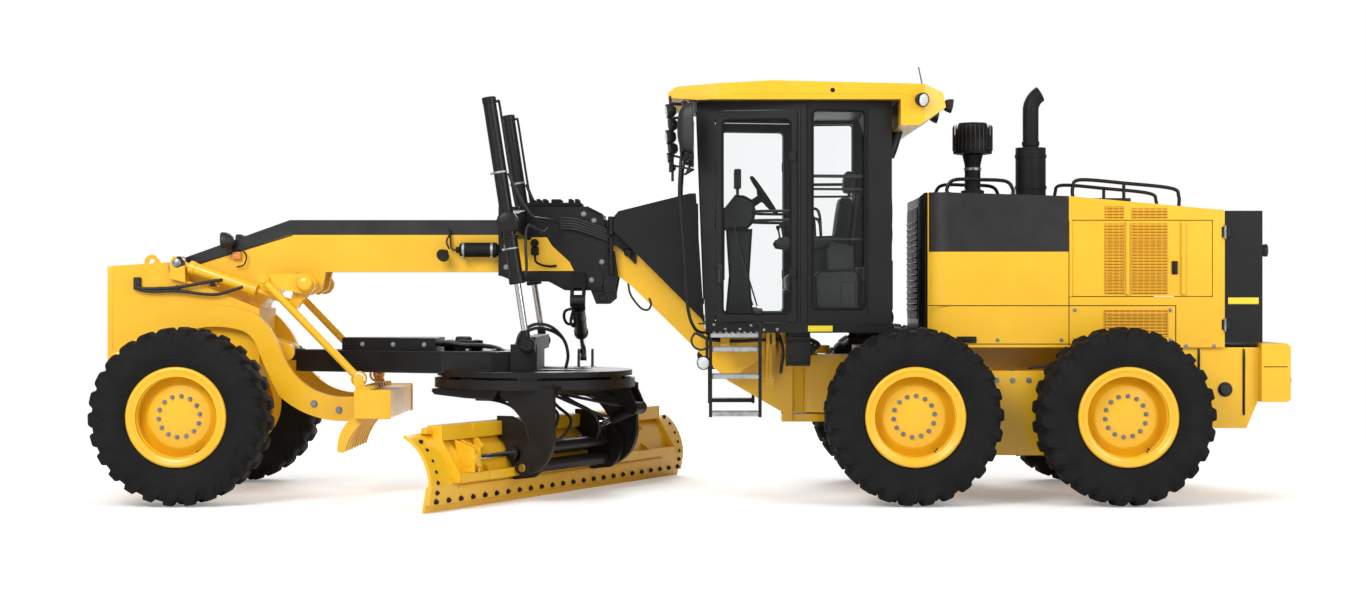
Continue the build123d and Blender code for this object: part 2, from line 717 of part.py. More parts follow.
# tilt cylinder, from the circle's bracket to the carrier's lever
tilt_from = blade_point(tilt_base[0], tilt_u, tilt_base[1])
tilt_to = blade_point(tilt_lever[0], tilt_u, tilt_lever[1])
tilt_length = distance(tilt_from, tilt_to)
tilt_barrel_length = 240
with BuildPart() as tilt_barrel:
    with BuildSketch(line_plane(tilt_from, tilt_to)):
        Circle(tilt_barrel_radius)
    extrude(amount=tilt_barrel_length)
    with BuildSketch(blade_plane(tilt_u)):
        with Locations(tilt_base):
            Circle(50)
    extrude(amount=tilt_eye_half - rod_gap, both=True)
    with BuildSketch(line_plane(tilt_from, tilt_to).offset(15)):
        Circle(tilt_rod_radius + rod_gap)
    extrude(amount=tilt_length, mode=Mode.SUBTRACT)
save(tilt_barrel, "tilt_barrel")

with BuildPart() as tilt_rod:
    with BuildSketch(line_plane(tilt_from, tilt_to).offset(107)):
        Circle(tilt_rod_radius)
    extrude(amount=tilt_length - 107)
    with BuildSketch(blade_plane(tilt_u)):
        with Locations(tilt_lever):
            Circle(44)
    extrude(amount=lever_gap - 1, both=True)
    with BuildSketch(blade_plane(tilt_u)):
        with Locations(tilt_lever):
            Circle(small_pin_radius + 13)
    extrude(amount=lever_gap, both=True, mode=Mode.SUBTRACT)
save(tilt_rod, "tilt_rod")

# ================= blade lift =================
lift_top = 936
lift_bottom = 460
lift_radius = 50
lift_rod_radius = 25
lift_rod_in = 420
for side, side_name in ((1, "left"), (-1, "right")):
    trunnion = (lift_trunnion[0], side * lift_y, lift_trunnion[1])
    eye = (lift_eye[0], side * lift_y, lift_eye[1])
    lift_length = distance(trunnion, eye)
    with BuildPart() as lift_barrel:
        with BuildSketch(line_plane(trunnion, eye).offset(-lift_top)):
            Circle(lift_radius)
        extrude(amount=lift_top + lift_bottom)
        with BuildSketch(line_plane(trunnion, eye).offset(lift_bottom - 70)):
            Circle(lift_radius + 8)
        extrude(amount=70)
        with BuildSketch(side_plane(trunnion[1])):
            with Locations(lift_trunnion):
                Circle(78)
        extrude(amount=collar_half, both=True)
        with BuildSketch(side_plane(trunnion[1])):
            with Locations(lift_trunnion):
                Circle(trunnion_radius + rod_gap)
        extrude(amount=side * 75, mode=Mode.SUBTRACT)
        with BuildSketch(line_plane(trunnion, eye).offset(-lift_top + 30)):
            Circle(lift_rod_radius + rod_gap)
        extrude(amount=lift_top + lift_bottom, mode=Mode.SUBTRACT)
    save(lift_barrel, f"{side_name}_lift_barrel")
    with BuildPart() as lift_rod:
        with BuildSketch(line_plane(trunnion, eye).offset(-lift_rod_in)):
            Circle(lift_rod_radius)
        extrude(amount=lift_rod_in + lift_length)
        with BuildSketch(side_plane(eye[1])):
            with Locations(lift_eye):
                Circle(56)
        extrude(amount=35, both=True)
        with BuildSketch(side_plane(eye[1])):
            with Locations(lift_eye):
                Circle(open_pin_radius + 13)
        extrude(amount=40, both=True, mode=Mode.SUBTRACT)
    save(lift_rod, f"{side_name}_lift_rod")

# ================= centre shift =================
centre_length = distance(centre_base, centre_eye)
centre_barrel_end = 560
centre_rod_length = 600
with BuildPart() as centre_barrel:
    with BuildSketch(line_plane(centre_base, centre_eye)):
        Circle(28)
    extrude(amount=120)
    with BuildSketch(line_plane(centre_base, centre_eye).offset(105)):
        Circle(50)
    extrude(amount=centre_barrel_end - 105)
    with BuildSketch(Plane.YZ.offset(centre_x)):
        with Locations((centre_base[1], centre_base[2])):
            Circle(46)
    extrude(amount=ear_in - rod_gap, both=True)
    with BuildSketch(Plane.YZ.offset(centre_x)):
        with Locations((centre_base[1], centre_base[2])):
            Circle(25 + rod_gap)
    extrude(amount=ear_out, both=True, mode=Mode.SUBTRACT)
    with BuildSketch(line_plane(centre_base, centre_eye).offset(60)):
        Circle(lift_rod_radius + rod_gap)
    extrude(amount=centre_barrel_end, mode=Mode.SUBTRACT)
save(centre_barrel, "centre_shift_barrel")
with BuildPart() as centre_rod:
    with BuildSketch(line_plane(centre_base, centre_eye).offset(centre_length - centre_rod_length)):
        Circle(lift_rod_radius)
    extrude(amount=centre_rod_length)
    with BuildSketch(Plane.YZ.offset(centre_x)):
        with Locations((centre_eye[1], centre_eye[2])):
            Circle(46)
    extrude(amount=24, both=True)
save(centre_rod, "centre_shift_rod")

# ================= scarifier =================
# arcs of one arm's edge, from the pivot over the axle to the block and back: start, middle, end
arm_arcs = [
    ((4470, 1080), (4180, 1340), (3836, 1432)),
    ((3836, 1432), (3579, 1457), (3322, 1384)),
    ((3322, 1384), (3215, 1255), (3152, 1115)),
    ((3152, 1115), (3050, 943), (2907, 821)),
    ((2907, 821), (2800, 780), (2580, 770)),
    ((2540, 590), (2880, 610), (3164, 772)),
    ((3164, 772), (3265, 980), (3335, 1151)),
    ((3335, 1151), (3385, 1230), (3460, 1275)),
    ((3460, 1275), (3700, 1300), (3934, 1243)),
    ((3934, 1243), (4140, 1150), (4340, 1000)),
]
with BuildPart() as scarifier:
    for side in (1, -1):
        with BuildSketch(side_plane(side * scar_arm_y)):
            with BuildLine():
                for start, middle, end in arm_arcs:
                    ThreePointArc(start, middle, end)
                Line((2580, 770), (2540, 590))
                Line((4340, 1000), (4470, 1080))
            make_face()
            with Locations(scar_pivot):
                Circle(78)
                Circle(30 + kingpin_gap, mode=Mode.SUBTRACT)
        extrude(amount=scar_arm_half, both=True)
    # box beam that holds the shanks
    with BuildSketch(side_plane(0)):
        with Locations(((2284 + 2548) / 2, (block_low + block_high) / 2)):
            Rectangle(264, block_high - block_low)
    extrude(amount=block_half, both=True)
    # curved shanks
    for index in range(9):
        with BuildSketch(side_plane((index - 4) * 135)):
            with BuildLine():
                ThreePointArc((2420, block_low + 20), (2560, 520), (2640, 347))
                Polyline((2640, 347), (2690, 352), (2690, 400))
                ThreePointArc((2690, 400), (2650, 530), (2545, block_low + 20))
                Line((2545, block_low + 20), (2420, block_low + 20))
            make_face()
        extrude(amount=14, both=True)
    # ears for the lift links
    for side in (1, -1):
        with BuildSketch(side_plane(side * (link_y + 45))):
            Polygon((2470, block_high - 20), (2548, block_high - 20), (2580, link_foot[1]), (2505, link_foot[1]),
                    align=None)
            with Locations(link_foot):
                Circle(38)
        extrude(amount=15, both=True)
        with BuildSketch(side_plane(side * (link_y + 50))):
            with Locations(link_foot):
                Circle(small_pin_radius)
        extrude(amount=side * 75)
save(scarifier, "scarifier")

with BuildPart() as scarifier_crank:
    with BuildSketch(side_plane(0)):
        with Locations(crank_pivot):
            Circle(crank_shaft_radius)
    extrude(amount=link_y, both=True)
    for side in (1, -1):
        with BuildSketch(side_plane(side * (link_y - 50))):
            with Locations(crank_pivot):
                Circle(78)
            with Locations(crank_top):
                Circle(46)
            Polygon((crank_pivot[0] - 10, crank_pivot[1] + 78), (crank_pivot[0] + 10, crank_pivot[1] - 78),
                    (crank_top[0], crank_top[1] - 46), (crank_top[0], crank_top[1] + 46), align=None)
        extrude(amount=20, both=True)
        with BuildSketch(side_plane(side * (link_y - 50))):
            with Locations(crank_top):
                Circle(20)
        extrude(amount=-side * 80)
    for ear in (-1, 1):
        with BuildSketch(side_plane(scar_cylinder_y + ear * 40)):
            with Locations(crank_pivot):
                Circle(70)
            with Locations(crank_lever):
                Circle(40)
            Polygon((crank_pivot[0] - 65, crank_pivot[1] - 20), (crank_lever[0] - 40, crank_lever[1] - 5),
                    (crank_lever[0] + 40, crank_lever[1] + 5), (crank_pivot[0] + 65, crank_pivot[1] + 25), align=None)
        extrude(amount=10, both=True)
    with BuildSketch(side_plane(scar_cylinder_y)):
        with Locations(crank_lever):
            Circle(small_pin_radius)
    extrude(amount=45, both=True)
save(scarifier_crank, "scarifier_crank")

with BuildPart() as scarifier_links:
    for side in (1, -1):
        link_start = (crank_top[0], side * link_y, crank_top[1])
        link_end = (link_foot[0], side * link_y, link_foot[1])
        with BuildSketch(line_plane(link_start, link_end)):
            Circle(30)
        extrude(amount=distance(link_start, link_end))
        for eye_at, eye_radius, bore in ((crank_top, 44, 20 + rod_gap), (link_foot, 59, small_pin_radius + 36)):
            with BuildSketch(side_plane(side * link_y)):
                with Locations(eye_at):
                    Circle(eye_radius)
            extrude(amount=27, both=True)
            with BuildSketch(side_plane(side * link_y)):
                with Locations(eye_at):
                    Circle(bore)
            extrude(amount=40, both=True, mode=Mode.SUBTRACT)
save(scarifier_links, "scarifier_links")

scar_from = (scar_cylinder_base[0], scar_cylinder_y, scar_cylinder_base[1])
scar_to = (crank_lever[0], scar_cylinder_y, crank_lever[1])
scar_length = distance(scar_from, scar_to)
scar_barrel_end = 640
with BuildPart() as scarifier_barrel:
    with BuildSketch(line_plane(scar_from, scar_to)):
        Circle(28)
    extrude(amount=120)
    with BuildSketch(line_plane(scar_from, scar_to).offset(90)):
        Circle(48)
    extrude(amount=scar_barrel_end - 90)
    with BuildSketch(side_plane(scar_cylinder_y)):
        with Locations(scar_cylinder_base):
            Circle(52)
    extrude(amount=30, both=True)
    with BuildSketch(side_plane(scar_cylinder_y)):
        with Locations(scar_cylinder_base):
            Circle(20 + rod_gap)
    extrude(amount=60, both=True, mode=Mode.SUBTRACT)
    with BuildSketch(line_plane(scar_from, scar_to).offset(110)):
        Circle(lift_rod_radius + rod_gap)
    extrude(amount=scar_barrel_end, mode=Mode.SUBTRACT)
save(scarifier_barrel, "scarifier_barrel")
with BuildPart() as scarifier_rod:
    with BuildSketch(line_plane(scar_from, scar_to).offset(150)):
        Circle(lift_rod_radius)
    extrude(amount=scar_length - 150)
    with BuildSketch(side_plane(scar_cylinder_y)):
        with Locations(crank_lever):
            Circle(40)
    extrude(amount=28, both=True)
    with BuildSketch(side_plane(scar_cylinder_y)):
        with Locations(crank_lever):
            Circle(small_pin_radius + 16)
    extrude(amount=40, both=True, mode=Mode.SUBTRACT)
save(scarifier_rod, "scarifier_rod")

# ================= cab =================
# plan of the cab's outside and inside, as x and half width; the front wall is cut to its slope afterwards
cab_plan = [(cab_front_x + 40, cab_front_half), (cab_pillar_x, cab_pillar_half), (cab_rear_x, cab_rear_half)]
cab_inside = [(cab_foot_x - cab_wall, cab_front_half - 50), (cab_pillar_x, cab_pillar_half - cab_wall),
              (cab_rear_x + cab_wall, cab_rear_half - 55)]


def both_sides(plan):
    """The whole outline of a plan given as x and half width, from the front round to the front."""
    return [(x, half) for x, half in plan] + [(x, -half) for x, half in reversed(plan)]


door_low = 1335
door_high = 2940
door_front_x = -172
door_rear_x = -800
window_low = 1440
door_slope = (cab_front_half - cab_pillar_half) / (cab_front_x + 40 - cab_pillar_x)
door_scale = sqrt(1 + door_slope * door_slope)
door_thick = 42
door_lean = door_thick * abs(door_slope)
hinge_knuckle = 14
hinge_offset = hinge_knuckle + 0.4
hinge_edge_x = door_rear_x + door_gap + door_lean
hinge_edge_y = cab_pillar_half + door_slope * (hinge_edge_x - cab_pillar_x) - 3
cab_front = Plane(origin=(cab_foot_x, 0, cab_floor_z), x_dir=(0, 1, 0),
                  z_dir=(cab_top_z - cab_floor_z, 0, cab_foot_x - cab_front_x))
with BuildPart() as cab_frame:
    with BuildSketch(Plane.XY.offset(cab_floor_z)):
        Polygon(*both_sides(cab_plan), align=None)
    extrude(amount=cab_top_z - cab_floor_z)
    with BuildSketch(Plane.XY.offset(cab_floor_z + 45)):
        Polygon(*both_sides(cab_inside), align=None)
    extrude(amount=cab_top_z - cab_floor_z - 45 - 50, mode=Mode.SUBTRACT)
    split(bisect_by=cab_front, keep=Keep.BOTTOM)
    # doorways and the fixed side windows behind them
    with BuildSketch(side_plane(0)):
        with Locations(((door_front_x + door_rear_x) / 2, (door_low + door_high) / 2)):
            Rectangle(door_front_x - door_rear_x, door_high - door_low)
        with Locations(((-905 - 1300) / 2, (window_low + 2930) / 2)):
            Rectangle(395, 2930 - window_low)
    extrude(amount=cab_pillar_half + 50, both=True, mode=Mode.SUBTRACT)
    # windscreen and rear window
    with BuildSketch(Plane.YZ.offset(cab_foot_x - cab_wall - 10)):
        with Locations((0, (1520 + 2930) / 2)):
            Rectangle(2 * (cab_front_half - 75), 2930 - 1520)
    extrude(amount=400, mode=Mode.SUBTRACT)
    with BuildSketch(Plane.YZ.offset(cab_rear_x + cab_wall + 10)):
        with Locations((0, (1900 + 2900) / 2)):
            Rectangle(2 * (cab_rear_half - 130), 1000)
    extrude(amount=-200, mode=Mode.SUBTRACT)
    # door hinges
    with BuildSketch(Plane.XY.offset(door_low + door_gap)):
        for side in (1, -1):
            with Locations((hinge_edge_x - hinge_offset / door_scale,
                            side * (hinge_edge_y - hinge_offset * door_slope / door_scale))):
                Circle(hinge_knuckle)
    extrude(amount=door_high - door_low - 2 * door_gap)
save(cab_frame, "cab_frame")

# flat panes in the fixed windows
with BuildPart() as cab_glass:
    with BuildSketch(cab_front.offset(-20)):
        with Locations((0, ((1520 + 2930) / 2 - cab_floor_z))):
            Rectangle(2 * (cab_front_half - 75) - 1, 2930 - 1520 - 2)
    extrude(amount=-6)
    with BuildSketch(Plane.YZ.offset(cab_rear_x + 20)):
        with Locations((0, (1900 + 2900) / 2)):
            Rectangle(2 * (cab_rear_half - 130) - 1, 1000 - 1)
    extrude(amount=6)
    rear_side = Vector(cab_rear_x - cab_pillar_x, cab_rear_half - cab_pillar_half, 0)
    for side in (1, -1):
        pane_dir = Vector(rear_side.X, side * rear_side.Y, 0).normalized()
        pane_origin = Vector(cab_pillar_x, side * (cab_pillar_half - 25), 0)
        pane_scale = rear_side.length / abs(rear_side.X)
        with BuildSketch(Plane(origin=pane_origin, x_dir=pane_dir, z_dir=(-pane_dir.Y, pane_dir.X, 0))):
            with Locations((248.5 * pane_scale, -(window_low + 2930) / 2)):
                Rectangle((395 - 1.4) * pane_scale, 2930 - window_low - 2)
        extrude(amount=3, both=True)
save(cab_glass, "cab_glass")

# doors hinged at the pillar; the plane runs forward along the panel from the pillar
door_width = (door_front_x - door_rear_x - 2 * door_gap - door_lean) * door_scale
for side, door_name in ((1, "left_cab_door"), (-1, "right_cab_door")):
    door_dir = Vector(1, side * door_slope, 0).normalized()
    door_plane = Plane(origin=(hinge_edge_x, side * hinge_edge_y, door_low + door_gap), x_dir=door_dir,
                       z_dir=(door_dir.Y, -door_dir.X, 0))
    with BuildPart() as cab_door:
        with BuildSketch(door_plane):
            with Locations((door_width / 2, (door_high - door_low) / 2 - door_gap)):
                RectangleRounded(door_width, door_high - door_low - 2 * door_gap, 8)
                RectangleRounded(door_width - 110, door_high - door_low - 2 * door_gap - 130, 40, mode=Mode.SUBTRACT)
        extrude(amount=side * door_thick)
    save(cab_door, door_name)

with BuildPart() as cab_roof:
    with BuildSketch(side_plane(0)):
        Polygon((182, 3030), (182, 3068), (120, 3112), (-600, 3150), (-1740, 3123), (-1880, 3060), (-1900, 2950),
                (-1700, 2815), (-1560, 2815), (-1560, cab_top_z),
                (cab_front_x, cab_top_z), align=None)
    extrude(amount=770, both=True)
    with BuildSketch(Plane.XY.offset(2700)):
        Polygon((300, 900), (-2100, 900), (-2100, 690), (-1740, 770), (-200, 770), (182, 640), (300, 640), align=None)
        Polygon((300, -900), (-2100, -900), (-2100, -690), (-1740, -770), (-200, -770), (182, -640), (300, -640),
                align=None)
    extrude(amount=600, mode=Mode.SUBTRACT)
save(cab_roof, "cab_roof")

# black cowl over the beam's slope, ahead of the windscreen; its skirts hang a little below the slope
slope_z = beam_top - drop_x
with BuildPart() as console_cover:
    with BuildSketch(side_plane(0)):
        Polygon((610, slope_z + 563), (604, 2150), (570, 2190), (20, 2327), (cab_front_x + 8, 2327), (cab_foot_x + 11, 1320),
                (cab_foot_x + 33, slope_z - 117), align=None)
    extrude(amount=290, both=True)
    with BuildSketch(side_plane(0)):
        Polygon((700, slope_z + 701), (-200, slope_z - 199), (-200, 1000), (700, 1000), align=None)
    extrude(amount=beam_half_width + 0.8, both=True, mode=Mode.SUBTRACT)
save(console_cover, "console_cover")

with BuildPart() as seat:
    with BuildSketch(Plane.XY.offset(cab_floor_z + 45)):
        with Locations((-980, 0)):
            RectangleRounded(420, 420, 60)
    extrude(amount=260)
    with BuildSketch(Plane.XY.offset(cab_floor_z + 305)):
        with Locations((-960, 0)):
            RectangleRounded(520, 520, 90)
    extrude(amount=130)
    with BuildSketch(side_plane(0)):
        Polygon((-1210, 1690), (-1100, 1690), (-1170, 2380), (-1270, 2380), align=None)
    extrude(amount=240, both=True)
    with BuildSketch(Plane.XY.offset(cab_floor_z + 420)):
        with Locations((-1170, 0)):
            Rectangle(80, 300)
    extrude(amount=60)
save(seat, "seat")

with BuildPart() as console:
    with BuildSketch(side_plane(0)):
        Polygon((-330, cab_floor_z + 45), (-200, cab_floor_z + 45), (-330, 1960), (-400, 1960), align=None)
    extrude(amount=85, both=True)
    column_top = Plane(origin=(-430, 0, 2010), z_dir=(-0.55, 0, 0.835))
    with BuildSketch(column_top.offset(-90)):
        Circle(26)
    extrude(amount=90)
    with BuildSketch(column_top):
        Circle(200)
        Circle(172, mode=Mode.SUBTRACT)
        Rectangle(30, 380)
        Circle(50)
    extrude(amount=26)
save(console, "steering_console")

ladder_x = (-500, -136)
ladder_y = 1010
with BuildPart() as ladders:
    for side in (1, -1):
        for stile_x in ladder_x:
            with BuildSketch(Plane.XY.offset(646)):
                with Locations((stile_x, side * ladder_y)):
                    Rectangle(24, 60)
            extrude(amount=cab_floor_z - 646)
        with BuildSketch(Plane.XY.offset(cab_floor_z - 30)):
            with Locations(((ladder_x[0] + ladder_x[1]) / 2, side * (ladder_y + 30 + 440) / 2)):
                Rectangle(ladder_x[1] - ladder_x[0], ladder_y + 30 - 440)
        extrude(amount=30)
        for rung_z in (655, 930, 1130):
            with BuildSketch(Plane.XY.offset(rung_z)):
                with Locations(((ladder_x[0] + ladder_x[1]) / 2, side * (ladder_y - 20))):
                    Rectangle(ladder_x[1] - ladder_x[0], 100)
            extrude(amount=28)
save(ladders, "ladders")

with BuildPart() as side_boxes:
    for side in (1, -1):
        with BuildSketch(Plane.XY.offset(1010)):
            with Locations((-800, side * 545)):
                RectangleRounded(180, 180, 15)
        extrude(amount=cab_floor_z - 1010)
save(side_boxes, "side_boxes")

# ================= rear body =================
rail_half = 300
rear_top = 1150
with BuildPart() as rear_frame:
    with BuildSketch(Plane.XY.offset(hinge_plate_low + hinge_plate_thick + 12)):
        with Locations((hinge_x, 0)):
            Circle(hinge_radius - 5)
        Polygon((hinge_x, hinge_radius - 5), (hinge_x, 5 - hinge_radius), (-1300, -160), (-1300, 160), align=None)
        with Locations((hinge_x, 0)):
            Circle(hinge_pin_radius + hinge_pin_gap, mode=Mode.SUBTRACT)
    extrude(amount=belly_top - 2 * hinge_plate_thick - hinge_plate_low - 24)
    with BuildSketch(side_plane(0)):
        Polygon((-1270, 640), (-1270, rear_top), (-4276, rear_top), (-4276, 760), (-3300, 700), align=None)
    extrude(amount=rail_half, both=True)
save(rear_frame, "rear_frame")

case_y = 640
case_half = 100
with BuildPart() as tandem_axle:
    for side in (1, -1):
        with BuildSketch(side_plane(side * case_y)):
            with BuildLine():
                Polyline((rear_axle_x[0] + 120, 390), (rear_axle_x[0] + 120, 830))
                Polyline((rear_axle_x[0] + 120, 830), (-2150, 966), (-2650, 966), (rear_axle_x[1] - 120, 830))
                Polyline((rear_axle_x[1] - 120, 830), (rear_axle_x[1] - 120, 390))
                Polyline((rear_axle_x[1] - 120, 390), (-2650, 344), (-2150, 344), (rear_axle_x[0] + 120, 390))
            make_face()
            for wheel_x in rear_axle_x:
                with Locations((wheel_x, 620)):
                    Circle(240)
        extrude(amount=case_half, both=True)
        for wheel_x in rear_axle_x:
            with BuildSketch(Plane(origin=(wheel_x, side * (case_y + case_half - 5), tyre_radius), z_dir=(0, side, 0))):
                Circle(150)
            extrude(amount=wheel_y - half_rim - case_y - case_half + 90)
            with BuildSketch(Plane(origin=(wheel_x, side * (case_y + case_half - 5), tyre_radius), z_dir=(0, side, 0))):
                Circle(spindle_radius)
            extrude(amount=wheel_y + disc_out - disc_thick - 5 - case_y - case_half)
    # axle housing between the cases
    with BuildSketch(side_plane(0)):
        with Locations(((rear_axle_x[0] + rear_axle_x[1]) / 2, tyre_radius)):
            Circle(190)
    extrude(amount=case_y, both=True)
    with BuildSketch(Plane.XY.offset(tyre_radius)):
        with Locations(((rear_axle_x[0] + rear_axle_x[1]) / 2, 0)):
            Rectangle(420, 2 * rail_half + 120)
    extrude(amount=200)
    # the rear frame's rails pass through above the housing
    with BuildSketch(side_plane(0)):
        Polygon((-1270, 640), (-1270, rear_top), (-4276, rear_top), (-4276, 760), (-3300, 700), align=None)
    extrude(amount=rail_half, both=True, mode=Mode.SUBTRACT)
save(tandem_axle, "tandem_axle")

# hood: a shell with rounded front corners and an opening in each side for a door
hood_door_front = -2860
hood_door_rear = -3920
hood_door_low = 1530
hood_door_high = 2110
hood_profile = [(hood_front_x, hood_low), (hood_front_x, 2285), (hood_front_x - 35, 2320), (-1850, 2320),
                (-2830, 2290), (hood_rear_x, 2184), (hood_rear_x, hood_low)]
with BuildPart() as engine_hood:
    with BuildSketch(side_plane(0)):
        Polygon(*hood_profile, align=None)
    extrude(amount=hood_half_width, both=True)
    fillet(engine_hood.edges().filter_by(Axis.Z).group_by(Axis.X)[-1], radius=hood_corner)
    with BuildSketch(side_plane(0)):
        Polygon((hood_front_x - hood_corner - 20, hood_low - 5), (hood_front_x - hood_corner - 20, 2285),
                (-2830, 2258), (hood_rear_x + hood_wall, 2152), (hood_rear_x + hood_wall, hood_low - 5), align=None)
    extrude(amount=hood_half_width - hood_wall, both=True, mode=Mode.SUBTRACT)
    with BuildSketch(side_plane(0)):
        with Locations(((hood_door_front + hood_door_rear) / 2, (hood_door_low + hood_door_high) / 2)):
            Rectangle(hood_door_front - hood_door_rear, hood_door_high - hood_door_low)
    extrude(amount=hood_half_width + 20, both=True, mode=Mode.SUBTRACT)
    # door hinges
    with BuildSketch(Plane.XY.offset(hood_door_low + door_gap)):
        for side in (1, -1):
            with Locations((hood_door_front - door_gap + hinge_offset, side * (hood_half_width - 2))):
                Circle(hinge_knuckle)
    extrude(amount=hood_door_high - hood_door_low - 2 * door_gap)
save(engine_hood, "engine_hood")

for side, door_name in ((1, "left_engine_door"), (-1, "right_engine_door")):
    with BuildPart() as engine_door:
        with BuildSketch(side_plane(side * (hood_half_width - 2))):
            with Locations(((hood_door_front + hood_door_rear) / 2, (hood_door_low + hood_door_high) / 2)):
                RectangleRounded(hood_door_front - hood_door_rear - 2 * door_gap,
                                 hood_door_high - hood_door_low - 2 * door_gap, 8)
        extrude(amount=side * (hood_wall - 4))
    save(engine_door, door_name)

radiator_rear_x = -4300
recess_z = 1690
recess_half = 530
recess_height = 880
with BuildPart() as radiator_housing:
    with BuildSketch(Plane.XY.offset(1184)):
        with Locations(((hood_rear_x + radiator_rear_x) / 2, 0)):
            Rectangle(hood_rear_x - radiator_rear_x, 2 * 630)
    extrude(amount=2180 - 1184)
    with BuildSketch(Plane.YZ.offset(radiator_rear_x)):
        with Locations((0, recess_z)):
            Rectangle(2 * recess_half, recess_height)
    extrude(amount=60, mode=Mode.SUBTRACT)
    # door hinge
    with BuildSketch(Plane.XY.offset(recess_z - recess_height / 2 + door_gap)):
        with Locations((radiator_rear_x + 4, recess_half - door_gap + hinge_offset)):
            Circle(hinge_knuckle)
    extrude(amount=recess_height - 2 * door_gap)
save(radiator_housing, "radiator_housing")
with BuildPart() as radiator_door:
    with BuildSketch(Plane.YZ.offset(radiator_rear_x + 4)):
        with Locations((0, recess_z)):
            RectangleRounded(2 * recess_half - 2 * door_gap, recess_height - 2 * door_gap, 8)
    extrude(amount=45)
save(radiator_door, "radiator_door")

hitch_z = 840
hitch_radius = 26
with BuildPart() as rear_bumper:
    with BuildSketch(side_plane(0)):
        Polygon((-4276, 741), (-4276, 1180), (-4470, 1180), (bumper_rear_x, 1150), (bumper_rear_x, 760), (-4470, 741),
                align=None)
    extrude(amount=700, both=True)
    with BuildSketch(side_plane(0)):
        with Locations((-4390, hitch_z)):
            Rectangle(210, 90)
    extrude(amount=90, both=True, mode=Mode.SUBTRACT)
    with BuildSketch(Plane.XY.offset(700)):
        with Locations((-4420, 0)):
            Circle(hitch_radius)
    extrude(amount=300, mode=Mode.SUBTRACT)
save(rear_bumper, "rear_bumper")

with BuildPart() as fuel_tank:
    with BuildSketch(side_plane(0)):
        Polygon((-3840, 560), (-3700, 690), (-3700, hood_low - 1), (-4275, hood_low - 1), (-4275, 760), (-4180, 540),
                (-3900, 540), align=None)
    extrude(amount=620, both=True)
    with BuildSketch(side_plane(0)):
        Polygon((-1270, 640), (-1270, rear_top), (-4276, rear_top), (-4276, 760), (-3300, 700), align=None)
    extrude(amount=rail_half, both=True, mode=Mode.SUBTRACT)
save(fuel_tank, "fuel_tank")

with BuildPart() as engine_block:
    with BuildSketch(Plane.XY.offset(rear_top)):
        with Locations((-2900, 0)):
            Rectangle(1300, 600)
    extrude(amount=870)
save(engine_block, "engine_block")

exhaust_x = -2650
with BuildPart() as exhaust_stack:
    with BuildSketch(Plane.XY.offset(2285)):
        with Locations((exhaust_x, 0)):
            Circle(118)
    extrude(amount=2696 - 2285)
    with BuildLine(Plane(origin=(exhaust_x, 0, 0), x_dir=(1, 0, 0), z_dir=(0, -1, 0))) as stack_line:
        rise = Line((0, 2690), (0, 2990))
        JernArc(start=rise @ 1, tangent=(0, 1), radius=150, arc_size=60)
    with BuildSketch(Plane(origin=(exhaust_x, 0, 2690), z_dir=(0, 0, 1))):
        Circle(62)
    sweep(path=stack_line.line)
    # the foot follows the hood's slope
    with BuildSketch(side_plane(0)):
        Polygon(*hood_profile, align=None)
    extrude(amount=hood_half_width, both=True, mode=Mode.SUBTRACT)
save(exhaust_stack, "exhaust_stack")

cleaner_x = -2195
with BuildPart() as air_cleaner:
    with BuildSketch(side_plane(0)):
        Polygon((cleaner_x, 2250), (cleaner_x + 90, 2250), (cleaner_x + 90, 2360), (cleaner_x + 62, 2370),
                (cleaner_x + 62, 2560), (cleaner_x + 80, 2640), (cleaner_x + 150, 2650), (cleaner_x + 155, 2700),
                (cleaner_x + 150, 2760), (cleaner_x + 110, 2890), (cleaner_x, 2900), align=None)
    revolve(axis=Axis((cleaner_x, 0, 0), (0, 0, 1)))
    with BuildSketch(side_plane(0)):
        Polygon(*hood_profile, align=None)
    extrude(amount=hood_half_width, both=True, mode=Mode.SUBTRACT)
save(air_cleaner, "air_cleaner")
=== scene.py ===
from math import cos, pi, radians, sin

import bmesh
import bpy
import numpy as np
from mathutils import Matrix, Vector


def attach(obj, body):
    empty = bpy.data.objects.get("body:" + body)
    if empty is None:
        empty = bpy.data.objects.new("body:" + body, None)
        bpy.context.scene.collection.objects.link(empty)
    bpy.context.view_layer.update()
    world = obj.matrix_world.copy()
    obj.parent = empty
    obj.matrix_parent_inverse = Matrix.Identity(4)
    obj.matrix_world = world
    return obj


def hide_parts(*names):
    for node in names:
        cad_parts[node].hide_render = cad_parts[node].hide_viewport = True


# Motor grader, in metres: +X is forward, +Y the machine's left, +Z up, with the origin on the ground.
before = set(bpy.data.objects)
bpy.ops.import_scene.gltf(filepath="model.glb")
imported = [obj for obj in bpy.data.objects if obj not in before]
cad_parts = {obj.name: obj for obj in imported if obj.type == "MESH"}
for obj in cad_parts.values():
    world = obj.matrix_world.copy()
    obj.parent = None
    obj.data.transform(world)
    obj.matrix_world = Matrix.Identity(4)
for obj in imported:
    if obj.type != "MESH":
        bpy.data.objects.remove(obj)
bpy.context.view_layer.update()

X, Y, Z = (1, 0, 0), (0, 1, 0), (0, 0, 1)
FRONT, REAR = "front_frame", "rear_body"


# ================= shapes, as arrays of points and faces =================
def unit(vector):
    """The vector divided by its length."""
    vector = np.asarray(vector, float)
    return vector / np.linalg.norm(vector, axis=-1, keepdims=True)


